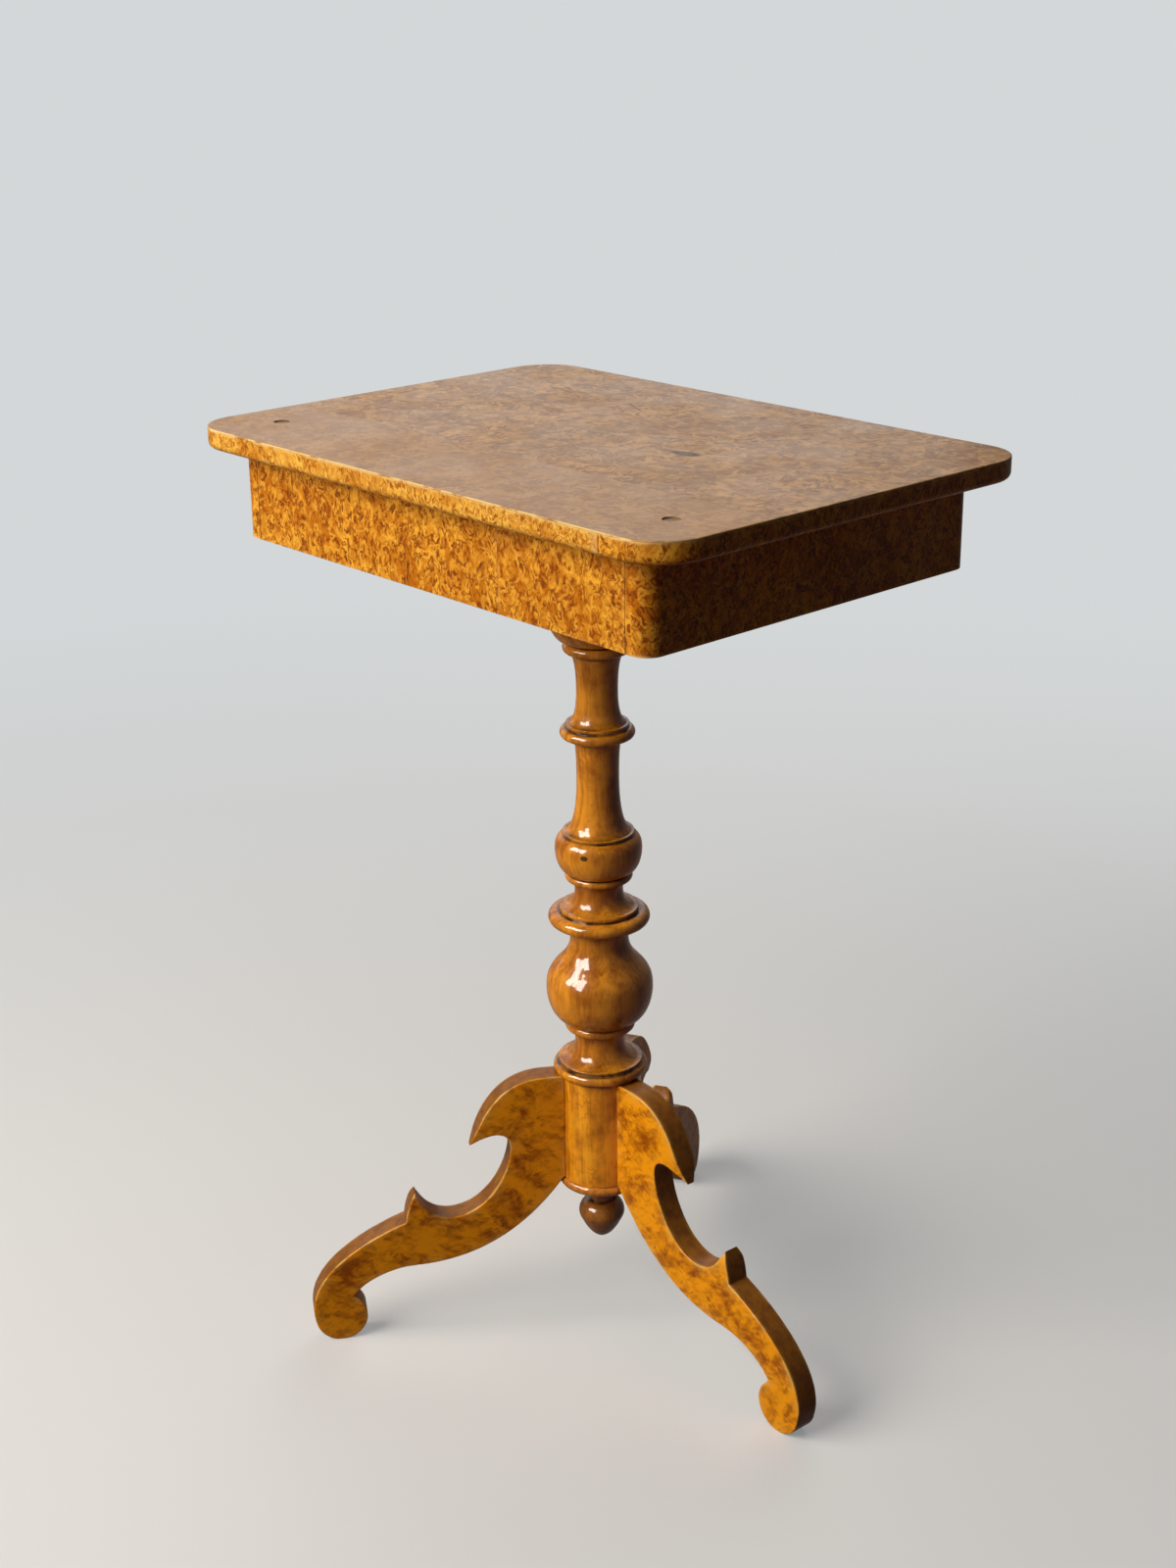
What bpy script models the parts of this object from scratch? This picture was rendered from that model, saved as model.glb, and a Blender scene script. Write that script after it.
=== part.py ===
"""Pedestal table: burl-veneered top, frieze with one drawer, turned column and three scroll legs.

Metres, +Z up. The origin is on the floor under the column, X runs along the top's long side,
and the drawer opens towards -Y.
"""

import math

import bmesh
import bpy
from mathutils import Matrix, Vector

# Overall sizes
TABLE_HEIGHT = 0.750
TOP_LENGTH = 0.520
TOP_WIDTH = 0.370
TOP_THICKNESS = 0.0165
TOP_CORNER_RADIUS = 0.038
END_OVERHANG = 0.0355
SIDE_OVERHANG = 0.023
FRIEZE_HEIGHT = 0.069
FRIEZE_CORNER_RADIUS = 0.014

# Clearances: the glue line between fixed pieces and the play round the drawer
GLUE_LINE = 0.0003
DRAWER_SIDE_PLAY = 0.0006
DRAWER_TOP_PLAY = 0.0010
DRAWER_BACK_PLAY = 0.0027
STOP_CLEARANCE = 0.0011

# Top
VENEER_THICKNESS = 0.0012
TOP_ARRIS = 0.0009
LIPPING_DEPTH = 0.009
LIPPING_LOWER_RADIUS = 0.005
LIPPING_JOINT_FRONT_LEFT = 0.113
LIPPING_JOINT_FRONT_RIGHT = 0.056
LIPPING_JOINT_END = 0.083
PLUG_RADIUS = 0.006
PLUG_HEIGHT = 0.006
PLUG_SUNK = 0.0008
PLUG_FROM_FRONT = 0.055
SCREW_HEAD_RADIUS = 0.0042
SCREW_HEAD_HEIGHT = 0.0026
SCREW_SHANK_RADIUS = 0.0021
SCREW_LENGTH = 0.040
SCREW_POINT_LENGTH = 0.006

# Frieze carcass
END_RAIL_THICKNESS = 0.0185
BACK_RAIL_THICKNESS = 0.0175
TONGUE_THICKNESS = 0.007
TONGUE_LENGTH = 0.006
BEARER_THICKNESS = 0.018
BEARER_WIDTH = 0.110
FRONT_RAIL_DEPTH = 0.040
FRONT_RAIL_GAP = 0.001
RUNNER_WIDTH = 0.014
KICKER_WIDTH = 0.010
KICKER_THICKNESS = 0.005
STOP_LENGTH = 0.030
STOP_DEPTH = 0.016
STOP_FROM_CENTRE = 0.120
GLUE_BLOCK_LEG = 0.013

# Drawer
DRAWER_FRONT_THICKNESS = 0.0175
DRAWER_SIDE_THICKNESS = 0.009
DRAWER_BACK_THICKNESS = 0.008
DRAWER_BACK_LOWERED = 0.003
DRAWER_BOTTOM_THICKNESS = 0.005
DRAWER_BOTTOM_RAISED = 0.0045
DRAWER_GROOVE_DEPTH = 0.003
TAIL_COUNT = 3
TAIL_LENGTH = 0.011
TAIL_END_WIDTH = 0.0095
TAIL_ROOT_WIDTH = 0.0065
FINGER_GROOVE_RADIUS = 0.006
FINGER_GROOVE_LENGTH = 0.120

# Column, from the leg block upwards: height and radius of each turned member
BLOCK_BOTTOM = 0.1335
BLOCK_HEIGHT = 0.0942
BLOCK_RADIUS = 0.0330
BASE_RING_HEIGHT = 0.0086
BASE_RING_RADIUS = 0.0383
BASE_STEP_HEIGHT = 0.0030
BASE_STEP_RADIUS = 0.0342
BASE_NECK_HEIGHT = 0.0262
BASE_NECK_RADIUS = 0.0203
BASE_WAIST_DROP = 0.0105
VASE_RING_HEIGHT = 0.0080
VASE_RING_RADIUS = 0.0285
VASE_HEIGHT = 0.0730
VASE_RADIUS = 0.0431
VASE_BELLY_HEIGHT = 0.0307
VASE_FOOT_RADIUS = 0.0262
VASE_NECK_RADIUS = 0.0234
DISC_UNDER_HEIGHT = 0.0130
DISC_UNDER_RADIUS = 0.0290
DISC_HEIGHT = 0.0105
DISC_RADIUS = 0.0407
DISC_STEP_HEIGHT = 0.0040
DISC_STEP_RADIUS = 0.0315
BULB_NECK_HEIGHT = 0.0227
BULB_NECK_RADIUS = 0.0193
BULB_WAIST_DROP = 0.0080
BULB_RING_HEIGHT = 0.0070
BULB_RING_RADIUS = 0.0270
BULB_HEIGHT = 0.0325
BULB_RADIUS = 0.0346
BULB_BELLY_HEIGHT = 0.0205
BULB_FOOT_RADIUS = 0.0250
BULB_SHOULDER_RADIUS = 0.0272
SHOULDER_HEIGHT = 0.0022
SHOULDER_RADIUS = 0.0284
SHAFT_RADIUS = 0.0167
SHAFT_WAIST_SHARE = 0.58
FILLET_STEP = 0.0020

# Column, from the frieze downwards
TENON_RADIUS = 0.0150
KERF_WIDTH = 0.0026
KERF_DEPTH = 0.0150
WEDGE_TAPER = 0.0003
COLLAR_HEIGHT = 0.0100
COLLAR_RADIUS = 0.0480
CAPITAL_NECK_HEIGHT = 0.0160
CAPITAL_NECK_RADIUS = 0.0300
BOWL_HEIGHT = 0.0445
BOWL_RADIUS = 0.0405
BOWL_FOOT_RADIUS = 0.0225
CAPITAL_RING_HEIGHT = 0.0090
CAPITAL_RING_RADIUS = 0.0266
UPPER_SHAFT_HEIGHT = 0.0565
UPPER_SHAFT_RADIUS = 0.0162
UPPER_WAIST_DROP = 0.0311
RING_STEP_HEIGHT = 0.0035
RING_STEP_RADIUS = 0.0249
RING_HEIGHT = 0.0085
RING_RADIUS = 0.0295

# Pendant under the leg block
PENDANT_RING_HEIGHT = 0.0088
PENDANT_RING_RADIUS = 0.0355
PENDANT_NECK_HEIGHT = 0.0165
PENDANT_NECK_RADIUS = 0.0095
PENDANT_BALL_HEIGHT = 0.0376
PENDANT_BALL_RADIUS = 0.0191
PENDANT_BELLY_DROP = 0.0150
PENDANT_TIP_RADIUS = 0.0042
SPIGOT_RADIUS = 0.0075
SPIGOT_LENGTH = 0.024

# Curves of the turned members: both handles as shares of the way across and down to the curve's end
FLARE_TO_WAIST = (0.90, 0.30, 1.00, 0.65)
WAIST_TO_FLARE = (0.00, 0.58, 0.35, 0.93)
NECK_TO_BELLY = (0.05, 0.50, 1.00, 0.48)
CROWN_TO_BELLY = (0.73, 0.15, 1.00, 0.50)
BELLY_TO_FOOT = (0.00, 0.61, 0.50, 0.96)
BOWL_TO_FOOT = (0.00, 0.75, 0.45, 1.00)
DROP_TO_BELLY = (0.62, 0.00, 1.00, 0.43)
BELLY_TO_TIP = (0.00, 0.42, 0.60, 0.85)

# Legs: distances out from the leg block's face, heights above the floor, the column's turn in degrees
LEG_NAMES = ("right", "back_left", "front_left")
LEG_THICKNESS = 0.020
COLUMN_TURN = -2.4
LEG_ROOT_INSET = 0.005
LEG_DOVETAIL_DEPTH = 0.013
LEG_DOVETAIL_ROOT = 0.012
LEG_DOVETAIL_FLARE = 0.002
LEG_DOVETAIL_SHOULDER = 0.010
SCROLL_RADIUS = 0.0215
SCROLL_CENTRE_OUT = 0.1895
FOOT_FLAT_DEPTH = 0.0005
SCROLL_START_ANGLE = -19.0
SCROLL_END_ANGLE = -240.0
THORN_TIP = (0.0775, 0.1676)
HOOK_BACK = (0.0444, 0.1665)
CURVE_LOW = (0.0947, 0.1058)
CUSP_TIP = (0.1242, 0.1298)
CUSP_FOOT = (0.1328, 0.1049)
UNDER_ARCH = (0.1284, 0.0634)

# How far the leg's curves are pulled out and up at the points above before they bend
BACK_PULL = (0.0238, 0.0)
THORN_OUTER_PULL = (-0.0205, 0.0660)
THORN_INNER_PULL = (-0.0195, 0.0174)
HOOK_UPPER_PULL = (0.0, 0.0125)
HOOK_LOWER_PULL = (0.0, -0.0235)
LOW_INNER_PULL = (-0.0305, 0.0)
LOW_OUTER_PULL = (0.0110, 0.0)
CUSP_INNER_PULL = (-0.0070, -0.0180)
CUSP_OUTER_PULL = (0.0055, -0.0080)
FOOT_UPPER_PULL = (-0.0012, 0.0085)
FOOT_LOWER_PULL = (0.0464, -0.0175)
SCROLL_PULL = (0.0137, 0.0400)
NOTCH_PULL = (-0.0087, 0.0139)
ARCH_OUTER_PULL = (0.0166, 0.0)
ARCH_INNER_PULL = (-0.0464, 0.0)
ROOT_PULL = (0.0390, -0.0540)

# Facets
TURNED_SEGMENTS = 36
SMALL_SEGMENTS = 16
BEAD_STEPS = 4
ROUNDING_STEPS = 4
CURVE_STEPS = 4
LONG_CURVE_STEPS = 6
LEG_STEPS = 8
LEG_SHORT_STEPS = 3
SCROLL_STEPS = 12
CORNER_STEPS = 7

# Levels and faces worked out from the sizes above
TOP_UNDERSIDE = TABLE_HEIGHT - TOP_THICKNESS
VENEER_UNDERSIDE = TABLE_HEIGHT - VENEER_THICKNESS
CORE_TOP = VENEER_UNDERSIDE - GLUE_LINE
FRIEZE_TOP = TOP_UNDERSIDE - GLUE_LINE
FRIEZE_BOTTOM = TOP_UNDERSIDE - FRIEZE_HEIGHT
BEARER_TOP = FRIEZE_BOTTOM + BEARER_THICKNESS
FRIEZE_HALF_LENGTH = TOP_LENGTH / 2 - END_OVERHANG
FRIEZE_HALF_WIDTH = TOP_WIDTH / 2 - SIDE_OVERHANG
SKIN = VENEER_THICKNESS + GLUE_LINE
END_INNER = FRIEZE_HALF_LENGTH - SKIN - END_RAIL_THICKNESS
BACK_INNER = FRIEZE_HALF_WIDTH - SKIN - BACK_RAIL_THICKNESS
DRAWER_FRONT_BACK = -FRIEZE_HALF_WIDTH + SKIN + DRAWER_FRONT_THICKNESS
FRONT_RAIL_FRONT = DRAWER_FRONT_BACK + FRONT_RAIL_GAP
FRONT_RAIL_BACK = FRONT_RAIL_FRONT + FRONT_RAIL_DEPTH
KICKER_BOTTOM = FRIEZE_TOP - KICKER_THICKNESS
DRAWER_HALF_LENGTH = END_INNER - DRAWER_SIDE_PLAY
DRAWER_SIDE_INNER = DRAWER_HALF_LENGTH - DRAWER_SIDE_THICKNESS
DRAWER_SIDE_BOTTOM = BEARER_TOP + GLUE_LINE
DRAWER_SIDE_TOP = KICKER_BOTTOM - DRAWER_TOP_PLAY
DRAWER_REAR = BACK_INNER - GLUE_LINE - GLUE_BLOCK_LEG - DRAWER_BACK_PLAY
DRAWER_BOTTOM_LOW = DRAWER_SIDE_BOTTOM + DRAWER_BOTTOM_RAISED
DRAWER_BOTTOM_HIGH = DRAWER_BOTTOM_LOW + DRAWER_BOTTOM_THICKNESS
BLOCK_TOP = BLOCK_BOTTOM + BLOCK_HEIGHT
LEG_TOP = BLOCK_TOP - GLUE_LINE
LEG_BOTTOM = BLOCK_BOTTOM + GLUE_LINE

# Colour, roughness and metallic value of each kind of material
BURL = ((0.62, 0.25, 0.035), 0.28, 0.0)
BIRCH = ((0.52, 0.19, 0.020), 0.25, 0.0)
PINE = ((0.66, 0.47, 0.27), 0.65, 0.0)
PLUG_WOOD = ((0.36, 0.19, 0.085), 0.50, 0.0)
IRON = ((0.16, 0.15, 0.14), 0.45, 1.0)


def clear_scene():
    for obj in list(bpy.data.objects):
        bpy.data.objects.remove(obj, do_unlink=True)


def paint(obj, finish):
    colour, roughness, metallic = finish
    material = bpy.data.materials.new(obj.name)
    material.use_nodes = True
    shader = material.node_tree.nodes["Principled BSDF"]
    shader.inputs["Base Color"].default_value = (*colour, 1.0)
    shader.inputs["Roughness"].default_value = roughness
    shader.inputs["Metallic"].default_value = metallic
    obj.data.materials.append(material)


def add_object(name, mesh, finish=None):
    obj = bpy.data.objects.new(name, mesh)
    bpy.context.scene.collection.objects.link(obj)
    if finish:
        paint(obj, finish)
    return obj


def add_bmesh(name, bm, finish=None):
    bmesh.ops.recalc_face_normals(bm, faces=bm.faces)
    mesh = bpy.data.meshes.new(name)
    bm.to_mesh(mesh)
    bm.free()
    return add_object(name, mesh, finish)


def block(name, low, high, finish=None):
    """A squared piece between two corners, with its object's origin at its middle."""
    low, high = Vector(low), Vector(high)
    bm = bmesh.new()
    bmesh.ops.create_cube(bm, size=1.0, matrix=Matrix.Diagonal((*(high - low), 1.0)))
    obj = add_bmesh(name, bm, finish)
    obj.location = (low + high) / 2
    return obj


# Where an outline's two coordinates and its extrusion go, by the axis it is extruded along
PLACE = {
    "x": lambda u, v, w: (w, u, v),
    "y": lambda u, v, w: (u, w, v),
    "z": lambda u, v, w: (u, v, w),
}


def prism(name, outline, axis, start, end, finish=None):
    """An outline extruded along an axis."""
    bm = bmesh.new()
    face = bm.faces.new([bm.verts.new(PLACE[axis](u, v, start)) for u, v in outline])
    made = bmesh.ops.extrude_face_region(bm, geom=[face])["geom"]
    moved = [item for item in made if isinstance(item, bmesh.types.BMVert)]
    bmesh.ops.translate(bm, verts=moved, vec=Vector(PLACE[axis](0.0, 0.0, end - start)))
    return add_bmesh(name, bm, finish)


def turned(name, profile, segments, finish=None):
    """A profile of radius and height, listed top to bottom, turned about the vertical."""
    mesh = bpy.data.meshes.new(name)
    mesh.from_pydata(
        [(radius, 0.0, height) for radius, height in profile],
        [(i, i + 1) for i in range(len(profile) - 1)],
        [],
    )
    obj = add_object(name, mesh, finish)
    screw = obj.modifiers.new("turn", "SCREW")
    screw.axis = "Z"
    screw.angle = math.tau
    screw.steps = segments
    screw.render_steps = segments
    screw.use_merge_vertices = True
    screw.merge_threshold = 0.00001
    screw.use_smooth_shade = True
    return obj


def combine(target, tool, operation):
    """Cut one solid with another, or join them, keeping the tool out of the model."""
    modifier = target.modifiers.new(tool.name, "BOOLEAN")
    modifier.operation = operation
    modifier.object = tool
    tool.hide_render = True
    tool.display_type = "WIRE"


def cut(target, *tools):
    for tool in tools:
        combine(target, tool, "DIFFERENCE")


def upright_rod(name, x, y, low, high, radius, segments=SMALL_SEGMENTS):
    rod = turned(name, [(0.0, high), (radius, high), (radius, low), (0.0, low)], segments)
    rod.location = (x, y, 0.0)
    return rod


def bezier(start, lead, trail, end, steps):
    """Points along a cubic curve, without its start."""
    points = []
    for i in range(1, steps + 1):
        t = i / steps
        weights = ((1 - t) ** 3, 3 * t * (1 - t) ** 2, 3 * t * t * (1 - t), t**3)
        corners = (start, lead, trail, end)
        points.append(tuple(sum(w * c[k] for w, c in zip(weights, corners)) for k in (0, 1)))
    return points


def pulled(start, start_pull, end_pull, end, steps=LEG_STEPS):
    """A cubic curve with each handle given as a pull away from its own end."""
    lead = (start[0] + start_pull[0], start[1] + start_pull[1])
    trail = (end[0] + end_pull[0], end[1] + end_pull[1])
    return bezier(start, lead, trail, end, steps)


def shaped(start, shares, end, steps=CURVE_STEPS):
    """A cubic curve with its handles given as shares of the way from start to end."""
    across = end[0] - start[0]
    down = end[1] - start[1]
    lead = (start[0] + shares[0] * across, start[1] + shares[1] * down)
    trail = (start[0] + shares[2] * across, start[1] + shares[3] * down)
    return bezier(start, lead, trail, end, steps)


def arc(centre, radius, start_angle, end_angle, steps):
    """Points along a circular arc, angles in degrees, both ends included."""
    points = []
    for i in range(steps + 1):
        angle = math.radians(start_angle + (end_angle - start_angle) * i / steps)
        points.append((centre[0] + radius * math.cos(angle), centre[1] + radius * math.sin(angle)))
    return points


def bead(radius, top, height):
    """A half-round ring, from its upper edge to its lower edge."""
    half = height / 2
    return arc((radius - half, top - half), half, 90, -90, BEAD_STEPS)


def rounded_corner(half_length, half_width, radius, quadrant):
    """Points and outward normals round one corner; quadrant 0 is +X +Y, counted anticlockwise."""
    sign_x = (1, -1, -1, 1)[quadrant]
    sign_y = (1, 1, -1, -1)[quadrant]
    centre = Vector((sign_x * (half_length - radius), sign_y * (half_width - radius)))
    stations = []
    for i in range(CORNER_STEPS + 1):
        angle = math.radians(90 * (quadrant + i / CORNER_STEPS))
        normal = Vector((math.cos(angle), math.sin(angle)))
        stations.append((centre + radius * normal, normal))
    return stations


def rounded_rectangle(half_length, half_width, radius):
    points = []
    for quadrant in range(4):
        points += [tuple(p) for p, _ in rounded_corner(half_length, half_width, radius, quadrant)]
    return points


def sweep(name, stations, section, finish):
    """A section of depth inwards and height, carried along stations of point and outward normal."""
    bm = bmesh.new()
    rings = []
    for point, normal in stations:
        ring = []
        for depth, height in section:
            place = point - depth * normal
            ring.append(bm.verts.new((place.x, place.y, height)))
        rings.append(ring)
    count = len(section)
    for near, far in zip(rings, rings[1:]):
        for i in range(count):
            k = (i + 1) % count
            bm.faces.new((near[i], near[k], far[k], far[i]))
    bm.faces.new(rings[0])
    bm.faces.new(rings[-1])
    return add_bmesh(name, bm, finish)


def loft(name, outlines, finish):
    """Stacked outlines of one point count, each with its height, closed at both ends."""
    bm = bmesh.new()
    rings = [[bm.verts.new((x, y, z)) for x, y in outline] for outline, z in outlines]
    count = len(rings[0])
    for low, high in zip(rings, rings[1:]):
        for i in range(count):
            k = (i + 1) % count
            bm.faces.new((low[i], low[k], high[k], high[i]))
    bm.faces.new(rings[0])
    bm.faces.new(rings[-1])
    return add_bmesh(name, bm, finish)


def lipping_section():
    """The top's edge lipping: square above, rounded under."""
    low = TOP_UNDERSIDE
    radius = LIPPING_LOWER_RADIUS
    rounding = arc((radius, low + radius), radius, 180, 270, ROUNDING_STEPS)
    return [(0.0, CORE_TOP)] + rounding + [(LIPPING_DEPTH, low), (LIPPING_DEPTH, CORE_TOP)]


def make_lipping():
    """Four corner pieces and four straight ones, butted at the joints seen on the edge."""
    half_x, half_y = TOP_LENGTH / 2, TOP_WIDTH / 2
    left = -half_x + LIPPING_JOINT_FRONT_LEFT
    right = half_x - LIPPING_JOINT_FRONT_RIGHT
    end = half_y - LIPPING_JOINT_END
    front, back = Vector((0, -1)), Vector((0, 1))
    east, west = Vector((1, 0)), Vector((-1, 0))
    gap = GLUE_LINE / 2

    straight = {
        "lipping_front": ((left, -half_y), (right, -half_y), front),
        "lipping_right_end": ((half_x, -end), (half_x, end), east),
        "lipping_back": ((-left, half_y), (-right, half_y), back),
        "lipping_left_end": ((-half_x, end), (-half_x, -end), west),
    }
    section = lipping_section()
    for name, (start, finish, normal) in straight.items():
        start, finish = Vector(start), Vector(finish)
        along = (finish - start).normalized() * gap
        sweep(name, [(start + along, normal), (finish - along, normal)], section, BURL)

    corners = {
        "lipping_back_right_corner": (0, (half_x, end + gap), east, (-left + gap, half_y), back),
        "lipping_back_left_corner": (1, (-right - gap, half_y), back, (-half_x, end + gap), west),
        "lipping_front_left_corner": (2, (-half_x, -end - gap), west, (left - gap, -half_y), front),
        "lipping_front_right_corner": (3, (right + gap, -half_y), front, (half_x, -end - gap), east),
    }
    for name, (quadrant, start, first, finish, last) in corners.items():
        bend = rounded_corner(half_x, half_y, TOP_CORNER_RADIUS, quadrant)
        stations = [(Vector(start), first)] + bend + [(Vector(finish), last)]
        sweep(name, stations, section, BURL)


def plug_places():
    """Over the middle of each end rail, near the front: side name, x and y."""
    x = END_INNER + END_RAIL_THICKNESS / 2
    y = -TOP_WIDTH / 2 + PLUG_FROM_FRONT
    return (("left", -x, y), ("right", x, y))


def screw_levels():
    """Under the plug: the top of the screw's head, its underside and its point."""
    head = TABLE_HEIGHT - PLUG_SUNK - PLUG_HEIGHT - GLUE_LINE
    return head, head - SCREW_HEAD_HEIGHT, head - SCREW_LENGTH


def make_top():
    half_x, half_y = TOP_LENGTH / 2, TOP_WIDTH / 2
    inset = LIPPING_DEPTH + GLUE_LINE
    core_outline = rounded_rectangle(half_x - inset, half_y - inset, TOP_CORNER_RADIUS - inset)
    core = prism("top_board", core_outline, "z", TOP_UNDERSIDE, CORE_TOP, PINE)

    edge = rounded_rectangle(half_x, half_y, TOP_CORNER_RADIUS)
    eased = rounded_rectangle(half_x - TOP_ARRIS, half_y - TOP_ARRIS, TOP_CORNER_RADIUS - TOP_ARRIS)
    levels = [(edge, VENEER_UNDERSIDE), (edge, TABLE_HEIGHT - TOP_ARRIS), (eased, TABLE_HEIGHT)]
    veneer = loft("top_veneer", levels, BURL)

    head, neck, point = screw_levels()
    above = TABLE_HEIGHT + PLUG_HEIGHT
    bore = PLUG_RADIUS + GLUE_LINE
    shank_bore = SCREW_SHANK_RADIUS + GLUE_LINE
    plug_top = TABLE_HEIGHT - PLUG_SUNK
    plug_profile = [(0.0, plug_top), (PLUG_RADIUS, plug_top)]
    plug_profile += [(PLUG_RADIUS, plug_top - PLUG_HEIGHT), (0.0, plug_top - PLUG_HEIGHT)]
    for side, x, y in plug_places():
        counterbore = upright_rod(f"counterbore_{side}", x, y, neck - GLUE_LINE, above, bore)
        shank_hole = upright_rod(f"shank_hole_{side}", x, y, point, above, shank_bore)
        cut(core, counterbore, shank_hole)
        cut(veneer, counterbore)
        plug = turned(f"top_plug_{side}", plug_profile, SMALL_SEGMENTS, PLUG_WOOD)
        plug.location = (x, y, 0.0)
        screw_profile = [
            (0.0, head),
            (SCREW_HEAD_RADIUS, head),
            (SCREW_SHANK_RADIUS, neck),
            (SCREW_SHANK_RADIUS, point + SCREW_POINT_LENGTH),
            (0.0, point),
        ]
        screw = turned(f"top_screw_{side}", screw_profile, SMALL_SEGMENTS, IRON)
        screw.location = (x, y, 0.0)
    make_lipping()


def end_rail_outline():
    """Plan of the right-hand rail: rounded outer corners and a groove for the back rail's tongue."""
    outer_x = FRIEZE_HALF_LENGTH - SKIN
    outer_y = FRIEZE_HALF_WIDTH - SKIN
    radius = FRIEZE_CORNER_RADIUS - SKIN
    front = [tuple(p) for p, _ in rounded_corner(outer_x, outer_y, radius, 3)]
    back = [tuple(p) for p, _ in rounded_corner(outer_x, outer_y, radius, 0)]
    middle = BACK_INNER + BACK_RAIL_THICKNESS / 2
    half = TONGUE_THICKNESS / 2 + GLUE_LINE
    bottom = END_INNER + TONGUE_LENGTH + GLUE_LINE
    groove = [(END_INNER, middle + half), (bottom, middle + half)]
    groove += [(bottom, middle - half), (END_INNER, middle - half)]
    return [(END_INNER, -outer_y)] + front + back + [(END_INNER, outer_y)] + groove


def mirrored(outline, sign):
    return [(sign * x, y) for x, y in outline]


def make_end_rails():
    outline = end_rail_outline()
    _, _, point = screw_levels()
    half_x, half_y = FRIEZE_HALF_LENGTH, FRIEZE_HALF_WIDTH
    front = rounded_corner(half_x, half_y, FRIEZE_CORNER_RADIUS, 3)
    back = rounded_corner(half_x, half_y, FRIEZE_CORNER_RADIUS, 0)
    wrap = [(Vector((END_INNER, -half_y)), Vector((0, -1)))] + front + back
    wrap.append((Vector((END_INNER, half_y)), Vector((0, 1))))
    skin = [(0.0, FRIEZE_TOP), (0.0, FRIEZE_BOTTOM)]
    skin += [(VENEER_THICKNESS, FRIEZE_BOTTOM), (VENEER_THICKNESS, FRIEZE_TOP)]
    housing_end = END_INNER + TONGUE_LENGTH + GLUE_LINE
    pilot_low = point - SCREW_POINT_LENGTH
    pilot_bore = SCREW_SHANK_RADIUS + GLUE_LINE

    for side, x, y in plug_places():
        sign = 1 if x > 0 else -1
        plan = mirrored(outline, sign)
        rail = prism(f"{side}_end_rail", plan, "z", FRIEZE_BOTTOM, FRIEZE_TOP, PINE)
        housing_x = sorted((sign * (END_INNER - TONGUE_LENGTH), sign * housing_end))
        housing = block(
            f"{side}_housing",
            (housing_x[0], FRONT_RAIL_FRONT - GLUE_LINE, FRIEZE_BOTTOM - BEARER_THICKNESS),
            (housing_x[1], FRONT_RAIL_BACK + GLUE_LINE, BEARER_TOP + GLUE_LINE),
        )
        pilot = upright_rod(f"{side}_pilot", x, y, pilot_low, TABLE_HEIGHT, pilot_bore)
        cut(rail, housing, pilot)
        stations = [(Vector((sign * p.x, p.y)), Vector((sign * n.x, n.y))) for p, n in wrap]
        sweep(f"{side}_end_veneer", stations, skin, BURL)


def make_back_rail():
    inner, outer = BACK_INNER, BACK_INNER + BACK_RAIL_THICKNESS
    middle = (inner + outer) / 2
    half = TONGUE_THICKNESS / 2
    shoulder = END_INNER - GLUE_LINE
    tip = END_INNER + TONGUE_LENGTH
    right = [(shoulder, inner), (shoulder, middle - half), (tip, middle - half)]
    right += [(tip, middle + half), (shoulder, middle + half), (shoulder, outer)]
    left = [(-x, y) for x, y in reversed(right)]
    rail = prism("back_rail", right + left, "z", FRIEZE_BOTTOM, FRIEZE_TOP, PINE)
    low, high = bearer_tongue_levels()
    groove = block(
        "bearer_groove_back",
        (-BEARER_WIDTH / 2 - GLUE_LINE, inner - TONGUE_LENGTH, low - GLUE_LINE),
        (BEARER_WIDTH / 2 + GLUE_LINE, inner + TONGUE_LENGTH + GLUE_LINE, high + GLUE_LINE),
    )
    cut(rail, groove)
    block(
        "back_veneer",
        (-shoulder, FRIEZE_HALF_WIDTH - VENEER_THICKNESS, FRIEZE_BOTTOM),
        (shoulder, FRIEZE_HALF_WIDTH, FRIEZE_TOP),
        BURL,
    )


def bearer_tongue_levels():
    middle = FRIEZE_BOTTOM + BEARER_THICKNESS / 2
    return middle - TONGUE_THICKNESS / 2, middle + TONGUE_THICKNESS / 2


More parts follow.
